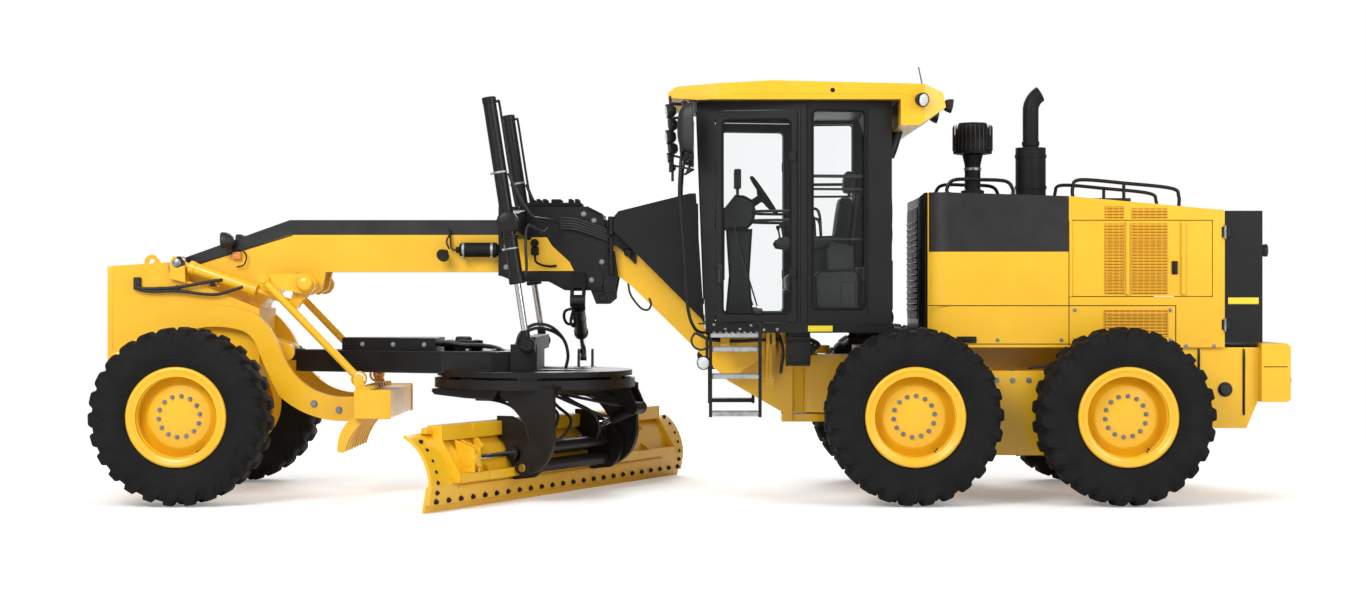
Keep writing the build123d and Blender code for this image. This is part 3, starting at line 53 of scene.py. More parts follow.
def grid_faces(rows, columns, wrap_rows=False, wrap_columns=False):
    """Quads between neighbours of a grid kept row by row; a wrapped side also joins its last to its first."""
    i = np.arange(rows if wrap_rows else rows - 1)[:, None]
    j = np.arange(columns if wrap_columns else columns - 1)[None, :]
    i_next, j_next = (i + 1) % rows, (j + 1) % columns
    corners = [i * columns + j, i * columns + j_next, i_next * columns + j_next, i_next * columns + j]
    return np.stack(corners, -1).reshape(-1, 4)


def join(*shapes):
    """One shape from several: the points in a row, and each shape's faces moved on by the points before it."""
    starts = np.cumsum([0] + [len(points) for points, _ in shapes])
    faces = [[list(face) for face in
              (np.array(f) + start if isinstance(f, np.ndarray) else [np.array(face) + start for face in f])]
             for (_, f), start in zip(shapes, starts)]
    return np.vstack([points for points, _ in shapes]), sum(faces, [])


def put(points, origin, x_dir, y_dir):
    """Points of a local frame carried to the machine's: origin + x along x_dir + y along y_dir + z across both."""
    x = unit(x_dir)
    z = unit(np.cross(x, y_dir))
    y = np.cross(z, x)
    return np.asarray(origin, float) + points @ np.stack([x, y, z])


def across(direction):
    """Two directions square to this one, of which the first is as level as can be."""
    d = unit(direction)
    side = np.cross(Z, d) if abs(d[2]) < 0.95 else np.cross(Y, d)
    side = unit(side)
    return side, np.cross(d, side)


def ring_of(radius, count=24):
    """A circle's points: radius times cosine and sine of evenly spread angles."""
    angle = np.linspace(0, 2 * pi, count, endpoint=False)
    return radius * np.stack([np.cos(angle), np.sin(angle)], -1)


def soft_rectangle(width, height, corner, steps=4):
    """A rectangle's outline whose corners are quarter circles of the given radius."""
    angle = np.linspace(0, pi / 2, steps + 1)
    arc = corner * np.stack([np.cos(angle), np.sin(angle)], -1)
    turn = np.array([[0, 1], [-1, 0]])
    outline = []
    for k, (sx, sy) in enumerate(((1, 1), (-1, 1), (-1, -1), (1, -1))):
        centre = np.array([sx * (width / 2 - corner), sy * (height / 2 - corner)])
        outline.append(arc @ np.linalg.matrix_power(turn, k) + centre)
    return np.vstack(outline)


def prism(outline, low, high, origin=(0, 0, 0), x_dir=X, y_dir=Y, chamfer=0.0):
    """A closed outline carried straight from low to high; at both ends it is drawn in by the chamfer's width."""
    outline = np.asarray(outline, float)
    after = np.roll(outline, -1, 0)
    area = np.sum(outline[:, 0] * after[:, 1] - outline[:, 1] * after[:, 0])
    if area < 0:
        outline = outline[::-1]
    outline = outline[np.linalg.norm(np.roll(outline, -1, 0) - outline, axis=1) > 1e-9]
    edge = unit(np.roll(outline, -1, 0) - outline)
    inward = np.stack([-edge[:, 1], edge[:, 0]], -1)
    before = np.roll(inward, 1, 0)
    shrink = (before + inward) / np.maximum(1 + np.sum(before * inward, -1, keepdims=True), 0.4)
    levels = [(low, 0), (high, 0)]
    if chamfer:
        levels = [(low, chamfer), (low + chamfer, 0), (high - chamfer, 0), (high, chamfer)]
    rows = [np.column_stack([outline + inset * shrink, np.full(len(outline), z)]) for z, inset in levels]
    count = len(outline)
    faces = list(grid_faces(len(levels), count, wrap_columns=True))
    faces += [np.arange(count)[::-1], np.arange(count) + (len(levels) - 1) * count]
    return put(np.vstack(rows), origin, x_dir, y_dir), faces


def block(low, high, chamfer=0.004):
    """A box between two corners with chamfered top and bottom edges and small round upright edges."""
    low, high = np.minimum(low, high), np.maximum(low, high)
    size, middle = high - low, (high + low) / 2
    corner = min(2 * chamfer, 0.4 * min(size[0], size[1]))
    outline = soft_rectangle(size[0], size[1], corner, 2)
    return prism(outline, -size[2] / 2, size[2] / 2, middle, X, Y, min(chamfer, 0.4 * size[2]))


def rod(start, end, radius, sides=24, chamfer=0.0):
    """A round bar between two points: a circle carried along the line."""
    start, end = np.asarray(start, float), np.asarray(end, float)
    side, up = across(end - start)
    return prism(ring_of(radius, sides), 0, np.linalg.norm(end - start), start, side, up, chamfer)


def lathe(profile, origin, axis, sides=48):
    """A profile of radius and height turned about an axis: it rises on the outside, so faces look outwards."""
    profile = np.asarray(profile, float)
    angle = np.linspace(0, 2 * pi, sides, endpoint=False)
    radius, height = profile[:, 0][:, None], profile[:, 1][:, None]
    points = np.stack([radius * np.cos(angle), radius * np.sin(angle), height + 0 * angle], -1)
    side, up = across(axis)
    return put(points.reshape(-1, 3), origin, side, up), grid_faces(len(profile), sides, wrap_columns=True)


def curve_through(points, steps=8):
    """A smooth line through the points: a Catmull-Rom cubic on each run, its slope taken from the neighbours."""
    p = np.asarray(points, float)
    p = np.vstack([2 * p[0] - p[1], p, 2 * p[-1] - p[-2]])
    t = np.linspace(0, 1, steps, endpoint=False)[None, :, None]
    a, b, c, d = (p[k:len(p) - 3 + k][:, None] for k in range(4))
    line = 0.5 * (2 * b + (c - a) * t + (2 * a - 5 * b + 4 * c - d) * t ** 2 + (3 * b - a - 3 * c + d) * t ** 3)
    return np.vstack([line.reshape(-1, p.shape[1]), p[-2]])


def pipe(points, radius, sides=10, steps=8, straight=False):
    """A circle carried along a line; each ring stands square to the line's slope there, and both ends are shut."""
    line = np.asarray(points, float) if straight else curve_through(points, steps)
    slope = unit(np.gradient(line, axis=0))
    least = np.argmin(np.abs(slope).max(0))
    side = unit(np.cross(slope, np.eye(3)[least]))
    up = np.cross(slope, side)
    circle = ring_of(radius, sides)
    rings = line[:, None] + circle[None, :, :1] * side[:, None] + circle[None, :, 1:] * up[:, None]
    faces = list(grid_faces(len(line), sides, wrap_columns=True))
    faces += [np.arange(sides)[::-1], np.arange(sides) + (len(line) - 1) * sides]
    return rings.reshape(-1, 3), faces


def panel(function, rows, columns):
    """A sheet: function gives points from two parameters that run from 0 to 1; faces look along rows x columns."""
    u, v = np.meshgrid(np.linspace(0, 1, rows), np.linspace(0, 1, columns), indexing="ij")
    return function(u, v).reshape(-1, 3), grid_faces(rows, columns)


def copies(shape, places):
    """The same shape at each of the places."""
    return join(*[(shape[0] + np.asarray(place, float), shape[1]) for place in places])


def mirrored(shape):
    """The shape seen in the plane Y = 0, with its faces turned round again."""
    return shape[0] * np.array([1, -1, 1]), [list(face)[::-1] for face in shape[1]]


def both(*shapes):
    """The shapes and their mirror images."""
    shape = join(*shapes)
    return join(shape, mirrored(shape))


def hexagon_bolts(places, normal, size=0.012, height=0.012):
    """Bolt heads: a six-sided prism on a washer at each place."""
    side, up = across(normal)
    head = prism(ring_of(size, 6), 0.002, height, (0, 0, 0), side, up, 0.0015)
    washer = prism(ring_of(1.35 * size, 12), 0, 0.003, (0, 0, 0), side, up)
    return copies(join(washer, head), places)


def piece(name, shapes, material, body, sharp=35, bevel=0.0, slot=None):
    """Make one visible piece from shapes, give it its material and let it ride on a body; the slot that goes with the
    material is looked up but not given to the piece."""
    points, faces = join(*shapes) if isinstance(shapes, list) else join(shapes)
    mesh = bpy.data.meshes.new(name)
    mesh.from_pydata(points.tolist(), [], [[int(k) for k in face] for face in faces])
    mesh.materials.append(material)
    made = bmesh.new()
    made.from_mesh(mesh)
    bmesh.ops.remove_doubles(made, verts=made.verts, dist=1e-6)
    bmesh.ops.dissolve_degenerate(made, edges=made.edges, dist=1e-7)
    bmesh.ops.recalc_face_normals(made, faces=made.faces)
    made.to_mesh(mesh)
    made.free()
    mesh.polygons.foreach_set("use_smooth", np.ones(len(mesh.polygons), bool))
    mesh.set_sharp_from_angle(angle=radians(sharp))
    thing = bpy.data.objects.new(name, mesh)
    bpy.context.scene.collection.objects.link(thing)
    if bevel:
        soften = thing.modifiers.new("soft_edges", "BEVEL")
        soften.width = bevel
        soften.segments = 2
        soften.limit_method = "ANGLE"
        soften.angle_limit = radians(40)
    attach(thing, body)
    slot = slot or SLOTS[material]
    return thing


# ================= materials =================
def linear(colour):
    """The linear red, green, blue and alpha of an sRGB hex colour."""
    value = np.array([int(colour[k:k + 2], 16) for k in (1, 3, 5)]) / 255
    value = np.where(value <= 0.04045, value / 12.92, ((value + 0.055) / 1.055) ** 2.4)
    return (*value, 1.0)


def add(tree, kind, sockets=None, **settings):
    """Add a node: settings go to its properties, stops to its colour ramp, and sockets take a value or a link."""
    made = tree.nodes.new(kind)
    for key, value in settings.items():
        if key == "stops":
            for stop, (position, colour) in zip(made.color_ramp.elements, value):
                stop.position, stop.color = position, colour
        else:
            setattr(made, key, value)
    for key, value in (sockets or {}).items():
        if isinstance(value, bpy.types.NodeSocket):
            tree.links.new(value, made.inputs[key])
        else:
            made.inputs[key].default_value = value
    return made


def new_material(name):
    """An empty node material, with its tree, object coordinates and output."""
    material = bpy.data.materials.new(name)
    material.use_nodes = True
    tree = material.node_tree
    tree.nodes.clear()
    place = add(tree, "ShaderNodeTexCoord").outputs["Object"]
    output = add(tree, "ShaderNodeOutputMaterial")
    return material, tree, place, output


def grey(value):
    """A grey as red, green, blue and alpha."""
    return (value, value, value, 1.0)


def finish_material(material, tree, output, **sockets):
    """Join a Principled shader with these sockets to the output."""
    shader = add(tree, "ShaderNodeBsdfPrincipled", {key.replace("_", " "): value for key, value in sockets.items()})
    tree.links.new(shader.outputs["BSDF"], output.inputs["Surface"])
    return material


def painted_steel(name, colour, faded, dust, rough, peel_mm=2.5, dust_low=0.0, shine=0.5, coat=0.25):
    """Sprayed and baked enamel over steel plate: even colour that fades a little in broad patches, the orange-peel
    ripple of a spray gun, and road dust that thins out upwards."""
    material, tree, place, output = new_material(name)
    patches = add(tree, "ShaderNodeTexNoise", {"Vector": place, "Scale": 1.6, "Detail": 4.0, "Roughness": 0.55})
    body = add(tree, "ShaderNodeValToRGB", {"Fac": patches.outputs["Fac"]},
        stops=((0.35, linear(colour)), (0.75, linear(faded)))).outputs["Color"]
    height = add(tree, "ShaderNodeSeparateXYZ", {"Vector": place}).outputs["Z"]
    low = add(tree, "ShaderNodeMapRange", {"Value": height, "From Min": 0.0, "From Max": 1.1, "To Min": dust_low,
        "To Max": 0.0})
    specks = add(tree, "ShaderNodeTexNoise", {"Vector": place, "Scale": 34.0, "Detail": 6.0, "Roughness": 0.7})
    speck_mask = add(tree, "ShaderNodeMath", {0: low.outputs["Result"], 1: specks.outputs["Fac"]},
        operation="MULTIPLY", use_clamp=True)
    coloured = add(tree, "ShaderNodeMix", {"Factor": speck_mask.outputs["Value"], 6: body, 7: linear(dust)},
        data_type="RGBA")
    smears = add(tree, "ShaderNodeTexNoise", {"Vector": place, "Scale": 7.0, "Detail": 5.0})
    roughness = add(tree, "ShaderNodeValToRGB", {"Fac": smears.outputs["Fac"]}, stops=((0.3, grey(rough - 0.06)),
        (0.8, grey(rough + 0.1)))).outputs["Color"]
    peel = add(tree, "ShaderNodeTexNoise", {"Vector": place, "Scale": 1000 / peel_mm / 2.5, "Detail": 1.0})
    bump = add(tree, "ShaderNodeBump", {"Height": peel.outputs["Fac"], "Strength": 0.05, "Distance": 0.001})
    return finish_material(material, tree, output, Base_Color=coloured.outputs[2], Roughness=roughness,
        Normal=bump.outputs["Normal"], Specular_IOR_Level=shine, Coat_Weight=coat, Coat_Roughness=0.15)


def tread_rubber():
    """Vulcanised natural rubber: near black with a grey bloom, fine mould grain and dust in the hollows."""
    material, tree, place, output = new_material("vulcanised_tread_rubber")
    bloom = add(tree, "ShaderNodeTexNoise", {"Vector": place, "Scale": 5.0, "Detail": 5.0, "Roughness": 0.6})
    colour = add(tree, "ShaderNodeValToRGB", {"Fac": bloom.outputs["Fac"]}, stops=((0.35, linear("#0B0B0C")),
        (0.72, linear("#161515")))).outputs["Color"]
    grain = add(tree, "ShaderNodeTexNoise", {"Vector": place, "Scale": 420.0, "Detail": 2.0})
    bump = add(tree, "ShaderNodeBump", {"Height": grain.outputs["Fac"], "Strength": 0.18, "Distance": 0.0012})
    return finish_material(material, tree, output, Base_Color=colour, Roughness=0.78, Normal=bump.outputs["Normal"],
        Specular_IOR_Level=0.22)


def hose_rubber():
    """Extruded synthetic rubber over wire braid: matt black with the wrap's fine diagonal print, 3 mm apart."""
    material, tree, place, output = new_material("wrapped_hose_rubber")
    wrap = add(tree, "ShaderNodeTexWave", {"Vector": place, "Scale": 55.0, "Distortion": 0.6, "Detail": 1.0},
        bands_direction="DIAGONAL")
    bump = add(tree, "ShaderNodeBump", {"Height": wrap.outputs["Fac"], "Strength": 0.15, "Distance": 0.001})
    colour = add(tree, "ShaderNodeValToRGB", {"Fac": wrap.outputs["Fac"]}, stops=((0.2, linear("#131314")),
        (0.8, linear("#1F1F20")))).outputs["Color"]
    return finish_material(material, tree, output, Base_Color=colour, Roughness=0.6, Normal=bump.outputs["Normal"])


def hard_chrome():
    """Ground and hard-chromed steel rod: a bright mirror with faint grinding lines round it."""
    material, tree, place, output = new_material("hard_chromed_steel")
    lines = add(tree, "ShaderNodeTexNoise", {"Vector": place, "Scale": 260.0, "Detail": 2.0})
    roughness = add(tree, "ShaderNodeValToRGB", {"Fac": lines.outputs["Fac"]},
        stops=((0.3, grey(0.1)), (0.7, grey(0.2)))).outputs["Color"]
    colour = add(tree, "ShaderNodeValToRGB", {"Fac": lines.outputs["Fac"]}, stops=((0.3, linear("#C9CBCE")),
        (0.7, linear("#DDDEE0")))).outputs["Color"]
    return finish_material(material, tree, output, Base_Color=colour, Metallic=1.0, Roughness=roughness)


def metal(name, colour, dull, rough, grain_mm):
    """Bare or plated metal: mottled by its making, with a fine grain of the given size."""
    material, tree, place, output = new_material(name)
    mottle = add(tree, "ShaderNodeTexNoise", {"Vector": place, "Scale": 22.0, "Detail": 6.0, "Roughness": 0.65})
    colours = add(tree, "ShaderNodeValToRGB", {"Fac": mottle.outputs["Fac"]},
        stops=((0.3, linear(colour)), (0.7, linear(dull)))).outputs["Color"]
    grain = add(tree, "ShaderNodeTexNoise", {"Vector": place, "Scale": 1000 / grain_mm / 2.5, "Detail": 2.0})
    bump = add(tree, "ShaderNodeBump", {"Height": grain.outputs["Fac"], "Strength": 0.12, "Distance": 0.001})
    roughness = add(tree, "ShaderNodeValToRGB", {"Fac": mottle.outputs["Fac"]},
        stops=((0.3, grey(rough)), (0.7, grey(rough + 0.15)))).outputs["Color"]
    return finish_material(material, tree, output, Base_Color=colours, Metallic=1.0, Roughness=roughness,
        Normal=bump.outputs["Normal"])


def moulded_plastic(name, colour, lighter, rough):
    """Injection-moulded ABS: even colour with the fine leather-like texture of its mould, about 1 mm across."""
    material, tree, place, output = new_material(name)
    cells = add(tree, "ShaderNodeTexVoronoi", {"Vector": place, "Scale": 420.0})
    tone = add(tree, "ShaderNodeTexNoise", {"Vector": place, "Scale": 9.0, "Detail": 3.0})
    colours = add(tree, "ShaderNodeValToRGB", {"Fac": tone.outputs["Fac"]}, stops=((0.35, linear(colour)),
        (0.7, linear(lighter)))).outputs["Color"]
    bump = add(tree, "ShaderNodeBump", {"Height": cells.outputs["Distance"], "Strength": 0.1, "Distance": 0.001})
    return finish_material(material, tree, output, Base_Color=colours, Roughness=rough, Normal=bump.outputs["Normal"])


def tinted_glass(name, colour, clear):
    """Tempered float glass with a faint grey tint: nearly all light passes, and the surface mirrors the studio only
    as much as its angle gives."""
    material, tree, place, output = new_material(name)
    film = add(tree, "ShaderNodeTexNoise", {"Vector": place, "Scale": 2.2, "Detail": 3.0})
    roughness = add(tree, "ShaderNodeValToRGB", {"Fac": film.outputs["Fac"]},
        stops=((0.4, grey(0.02)), (0.8, grey(0.06)))).outputs["Color"]
    gloss = add(tree, "ShaderNodeBsdfGlossy", {"Color": linear(colour), "Roughness": roughness})
    through = add(tree, "ShaderNodeBsdfTransparent", {"Color": linear(clear)})
    fresnel = add(tree, "ShaderNodeFresnel", {"IOR": 1.45})
    share = add(tree, "ShaderNodeMath", {0: fresnel.outputs["Fac"], 1: 0.5}, operation="MULTIPLY", use_clamp=True)
    mix = add(tree, "ShaderNodeMixShader", {0: share.outputs["Value"], 1: through.outputs["BSDF"],
        2: gloss.outputs["BSDF"]})
    tree.links.new(mix.outputs["Shader"], output.inputs["Surface"])
    return material


def woven_seat_cloth():
    """Woven polyester seat cloth: black yarn with a grey fleck, its weave drawn 4 mm coarse so that it shows."""
    material, tree, place, output = new_material("woven_seat_cloth")
    weft = add(tree, "ShaderNodeTexWave", {"Vector": place, "Scale": 40.0, "Distortion": 0.3}, bands_direction="X")
    warp = add(tree, "ShaderNodeTexWave", {"Vector": place, "Scale": 40.0, "Distortion": 0.3}, bands_direction="Z")
    weave = add(tree, "ShaderNodeMath", {0: weft.outputs["Fac"], 1: warp.outputs["Fac"]}, operation="MULTIPLY")
    colour = add(tree, "ShaderNodeValToRGB", {"Fac": weave.outputs["Value"]}, stops=((0.1, linear("#161618")),
        (0.9, linear("#3A3A3E")))).outputs["Color"]
    bump = add(tree, "ShaderNodeBump", {"Height": weave.outputs["Value"], "Strength": 0.3, "Distance": 0.002})
    return finish_material(material, tree, output, Base_Color=colour, Roughness=0.9, Sheen_Weight=0.3,
        Normal=bump.outputs["Normal"])


def lamp_lens(name, colour, deep):
    """Moulded polycarbonate lens with 6 mm prism ribs over a bright reflector."""
    material, tree, place, output = new_material(name)
    ribs = add(tree, "ShaderNodeTexWave", {"Vector": place, "Scale": 26.0}, bands_direction="Z")
    colours = add(tree, "ShaderNodeValToRGB", {"Fac": ribs.outputs["Fac"]},
        stops=((0.1, linear(colour)), (0.9, linear(deep)))).outputs["Color"]
    bump = add(tree, "ShaderNodeBump", {"Height": ribs.outputs["Fac"], "Strength": 0.4, "Distance": 0.002})
    return finish_material(material, tree, output, Base_Color=colours, Roughness=0.12, Coat_Weight=0.6,
        Normal=bump.outputs["Normal"])


def louvre_paint_with_painted_shade():
    """Perforated steel grille in mustard enamel: rows of 9 mm slots, 22 mm apart, pressed into the sheet. The slots
    are coloured darker as painted shade inside them, and the mustard, darker than the chassis yellow, is that yellow
    enamel with the louvres' shade painted into it.
    """
    material, tree, place, output = new_material("perforated_steel_with_painted_slot_shade")
    part = add(tree, "ShaderNodeSeparateXYZ", {"Vector": place})
    masks = []
    for axis, pitch, share in (("X", 0.046, 0.24), ("Z", 0.022, 0.42)):
        turns = add(tree, "ShaderNodeMath", {0: part.outputs[axis], 1: pitch}, operation="DIVIDE")
        wrap = add(tree, "ShaderNodeMath", {0: turns.outputs["Value"]}, operation="FRACT")
        masks.append(add(tree, "ShaderNodeMath", {0: wrap.outputs["Value"], 1: share}, operation="GREATER_THAN"))
    hole = add(tree, "ShaderNodeMath", {0: masks[0].outputs["Value"], 1: masks[1].outputs["Value"]},
        operation="MULTIPLY")
    # painted shade: a darker mustard in the slots, and a sheet darker than the chassis yellow, stand in for the shade
    # among the louvres
    colour = add(tree, "ShaderNodeMix", {"Factor": hole.outputs["Value"], 6: linear("#DDA31A"), 7: linear("#B8841A")},
        data_type="RGBA")
    bump = add(tree, "ShaderNodeBump", {"Height": hole.outputs["Value"], "Strength": 0.6, "Distance": 0.004},
        invert=True)
    return finish_material(material, tree, output, Base_Color=colour.outputs[2], Roughness=0.5,
        Normal=bump.outputs["Normal"])


YELLOW_COAT = ("#EAB518", "#E5AD13", "#9C7A34")    # fresh, faded and dusty
CHARCOAL = "#0C0B0B"
yellow = painted_steel("yellow_chassis_enamel", *YELLOW_COAT, 0.36, dust_low=0.25)
black = painted_steel("charcoal_satin_enamel", CHARCOAL, "#121010", "#3C3733", 0.42, dust_low=0.25, shine=0.28,
    coat=0.06)
hot_black = painted_steel("matt_heatproof_enamel", "#0B0A0A", "#121010", "#2E2A28", 0.6, 1.5, shine=0.25, coat=0.0)
rubber = tread_rubber()
hose = hose_rubber()
chrome = hard_chrome()
zinc = metal("zinc_plated_bolt_steel", "#9FA2A4", "#74777A", 0.36, 0.8)
step_steel = metal("galvanised_step_steel", "#B9BBBB", "#8E9192", 0.45, 2.0)
brass = metal("yellow_passivated_pin_steel", "#B79247", "#8A6B35", 0.38, 1.0)
iron = metal("sand_cast_iron", "#4A4846", "#343231", 0.62, 2.0)
plastic = moulded_plastic("black_moulded_abs", "#0C0C0C", "#151515", 0.5)
cream = moulded_plastic("warm_grey_cab_trim", "#6E6A62", "#7C776E", 0.6)
glass = tinted_glass("clear_tempered_glass", "#F2F4F5", "#FDFEFE")
mirror_glass = metal("silvered_mirror_glass", "#DADDDE", "#CACDCE", 0.03, 1.0)
cloth = woven_seat_cloth()
clear_lens = lamp_lens("clear_ribbed_lens", "#E8EAEA", "#B8BCBE")
red_lens = lamp_lens("red_ribbed_lens", "#B3151B", "#7A0C10")
amber_lens = lamp_lens("amber_ribbed_lens", "#F08A12", "#B85E08")
louvre = louvre_paint_with_painted_shade()
reflector = lamp_lens("yellow_reflective_tape", "#E9D420", "#D2B814")

# the slot of the part's own material list that each finish stands for
SLOTS = {finish: slot for slot, finish_list in {"yellow_paint": (yellow, reflector),
    "black_paint": (black, hot_black, louvre), "seat_fabric": (cloth,),
    "dark_plastic": (plastic, rubber, hose, cream), "chrome_rod": (zinc, step_steel, brass, mirror_glass),
    "engine_iron": (iron,), "window_glass": (glass, clear_lens, red_lens, amber_lens)}.items()
    for finish in finish_list}


def masked_enamel(name, dust_low, mask_of):
    """Chassis enamel with charcoal sprayed over it where a mask is one; mask_of adds the mask's nodes to the tree,
    given the place's x and z, and returns the socket."""
    material = painted_steel(name, *YELLOW_COAT, 0.36, dust_low=dust_low)
    tree = material.node_tree
    shader = next(node for node in tree.nodes if node.type == "BSDF_PRINCIPLED")
    coat = shader.inputs["Base Color"].links[0].from_socket
    place = next(node for node in tree.nodes if node.type == "TEX_COORD").outputs["Object"]
    part = add(tree, "ShaderNodeSeparateXYZ", {"Vector": place})
    mask = mask_of(tree, part.outputs["X"], part.outputs["Z"])
    two = add(tree, "ShaderNodeMix", {"Factor": mask, 6: coat, 7: linear(CHARCOAL)}, data_type="RGBA")
    tree.links.new(two.outputs[2], shader.inputs["Base Color"])
    return material


# the frame's black band: rise per metre and height at x = 0 of its lower edge on the nose, height of that edge on the
# beam, and the place on the nose where the band ends
BAND_RISE, BAND_START, BAND_LOW, BAND_END = -0.3086, 2.9735, 2.01, 3.955
# the hood's black: how far back and how low the upper area goes, where the front corner starts, and the middle and
# half width of the yellow line between the two
UPPER_BACK, UPPER_LOW, CORNER_BACK, LINE_MIDDLE, LINE_HALF = -2.837, 1.87, -1.79, -1.786, 0.004


def frame_mask(tree, x, z):
    """The frame is masked along the top: the last 116 mm, the long slope down to the nose and the gooseneck behind
    the saddle are charcoal."""
    slope = add(tree, "ShaderNodeMath", {0: x, 1: BAND_RISE, 2: BAND_START}, operation="MULTIPLY_ADD")
    line = add(tree, "ShaderNodeMath", {0: slope.outputs["Value"], 1: BAND_LOW}, operation="MINIMUM")
    above = add(tree, "ShaderNodeMath", {0: z, 1: line.outputs["Value"]}, operation="GREATER_THAN")
    behind = add(tree, "ShaderNodeMath", {0: x, 1: BAND_END}, operation="LESS_THAN")
    return add(tree, "ShaderNodeMath", {0: above.outputs["Value"], 1: behind.outputs["Value"]},
        operation="MULTIPLY").outputs["Value"]


def hood_mask(tree, x, z):
    """The hood is charcoal over its upper front part and down the front corner, with a thin yellow line left between
    the two masked areas."""
    ahead = add(tree, "ShaderNodeMath", {0: x, 1: UPPER_BACK}, operation="GREATER_THAN")
    high = add(tree, "ShaderNodeMath", {0: z, 1: UPPER_LOW}, operation="GREATER_THAN")
    upper = add(tree, "ShaderNodeMath", {0: ahead.outputs["Value"], 1: high.outputs["Value"]}, operation="MULTIPLY")
    corner = add(tree, "ShaderNodeMath", {0: x, 1: CORNER_BACK}, operation="GREATER_THAN")
    masked = add(tree, "ShaderNodeMath", {0: upper.outputs["Value"], 1: corner.outputs["Value"]}, operation="MAXIMUM")
    line = add(tree, "ShaderNodeMath", {0: x, 1: LINE_MIDDLE, 2: LINE_HALF}, operation="COMPARE")
    return add(tree, "ShaderNodeMath", {0: masked.outputs["Value"], 1: line.outputs["Value"]}, operation="SUBTRACT",
        use_clamp=True).outputs["Value"]


frame_paint = masked_enamel("masked_two_tone_enamel", 0.25, frame_mask)
hood_paint = masked_enamel("masked_hood_enamel", 0.0, hood_mask)

# ================= finishes of the machine's own parts =================
wheels = [f"{row}_{side}" for row in ("front", "middle", "rear") for side in ("left", "right")]
finishes = {
    frame_paint: ["front_frame"],
    hood_paint: ["engine_hood"],
    yellow: ["front_axle", "rear_frame", "tandem_axle", "rear_bumper", "fuel_tank", "left_knuckle", "right_knuckle",
             "tie_rod", "moldboard", "scarifier", "scarifier_links", "cab_roof", "left_engine_door",
             "right_engine_door", "cutting_edge", "scarifier_barrel", "scarifier_crank", "scarifier_rod"] +
            [f"{wheel}_rim" for wheel in wheels],
    black: ["saddle", "console_cover", "cab_frame", "ladders", "side_boxes", "radiator_housing", "radiator_door",
            "left_cab_door", "right_cab_door", "drawbar", "circle", "blade_carrier", "left_lift_barrel",
            "right_lift_barrel", "centre_shift_barrel", "tilt_barrel", "side_shift_barrel"],
    chrome: ["left_lift_rod", "right_lift_rod", "centre_shift_rod", "tilt_rod", "side_shift_rod"],
    rubber: [f"{wheel}_tyre" for wheel in wheels],
    hot_black: ["exhaust_stack", "air_cleaner"],
    iron: ["engine_block"],
    plastic: ["steering_console", "seat"],
    glass: ["cab_glass"],
}
for finish, names in finishes.items():
    for name in names:
        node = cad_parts[name]
        node.data.materials.clear()
        node.data.materials.append(finish)

# ================= studio =================
camera_data = bpy.data.cameras.new("viewpoint")
camera_data.lens = 55.47
camera_data.sensor_width = 36.0
camera_data.shift_x = -0.0124
camera = bpy.data.objects.new("viewpoint", camera_data)
camera.location = (-0.058, 16.5, 1.548)
camera.rotation_euler = (pi / 2, 0, pi)
bpy.context.scene.collection.objects.link(camera)
bpy.context.scene.camera = camera


def studio_floor():
    """A pale painted studio floor and sweep: plain to the eye, white to the camera wherever nothing shades it."""
    material, tree, place, output = new_material("pale_painted_studio_floor")
    path = add(tree, "ShaderNodeLightPath")
    diffuse = add(tree, "ShaderNodeBsdfDiffuse", {"Color": linear("#F4F4F4")})
    glow = add(tree, "ShaderNodeEmission", {"Color": linear("#FFFFFF"), "Strength": 0.22})
    both_ways = add(tree, "ShaderNodeAddShader", {0: diffuse.outputs["BSDF"], 1: glow.outputs["Emission"]})
    away = add(tree, "ShaderNodeVectorMath", {0: place}, operation="LENGTH")
    far = add(tree, "ShaderNodeMapRange", {"Value": away.outputs["Value"], "From Min": 5.5, "From Max": 9.5},
        interpolation_type="SMOOTHSTEP")
    sweep = add(tree, "ShaderNodeEmission", {"Color": linear("#FFFFFF"), "Strength": 1.0})
    faded = add(tree, "ShaderNodeMixShader", {0: far.outputs["Result"], 1: both_ways.outputs["Shader"],
        2: sweep.outputs["Emission"]})
    mix = add(tree, "ShaderNodeMixShader", {0: path.outputs["Is Camera Ray"], 1: diffuse.outputs["BSDF"],
        2: faded.outputs["Shader"]})
    tree.links.new(mix.outputs["Shader"], output.inputs["Surface"])
    return material


floor_points, floor_faces = panel(lambda u, v: np.stack([120 * (u - 0.5), 120 * (v - 0.5), 0 * u - 0.001], -1), 2, 2)
floor_mesh = bpy.data.meshes.new("studio_floor")
floor_mesh.from_pydata(floor_points.tolist(), [], floor_faces.tolist())
floor_mesh.materials.append(studio_floor())
studio_ground = bpy.data.objects.new("studio_floor", floor_mesh)
bpy.context.scene.collection.objects.link(studio_ground)

world = bpy.data.worlds.new("studio_air")
world.use_nodes = True
bpy.context.scene.world = world
air = world.node_tree
air.nodes.clear()
seen = add(air, "ShaderNodeLightPath")
glossy = add(air, "ShaderNodeMath", {0: seen.outputs["Is Camera Ray"], 1: seen.outputs["Is Transmission Ray"]},
    operation="MAXIMUM")
dim = add(air, "ShaderNodeBackground", {"Color": linear("#FFFFFF"), "Strength": 0.56})
white = add(air, "ShaderNodeBackground", {"Color": linear("#FFFFFF"), "Strength": 1.0})
blend = add(air, "ShaderNodeMixShader", {0: glossy.outputs["Value"], 1: dim.outputs["Background"],
    2: white.outputs["Background"]})
add(air, "ShaderNodeOutputWorld", {"Surface": blend.outputs["Shader"]})


def lamp(name, place, target, size, power):
    """A square soft box: an area light at a place, turned to its target."""
    data = bpy.data.lights.new(name, "AREA")
    data.size, data.energy = size, power
    thing = bpy.data.objects.new(name, data)
    thing.location = place
    way = np.asarray(target, float) - np.asarray(place, float)
    thing.rotation_euler = Vector(way).to_track_quat("-Z", "Y").to_euler()
    bpy.context.scene.collection.objects.link(thing)


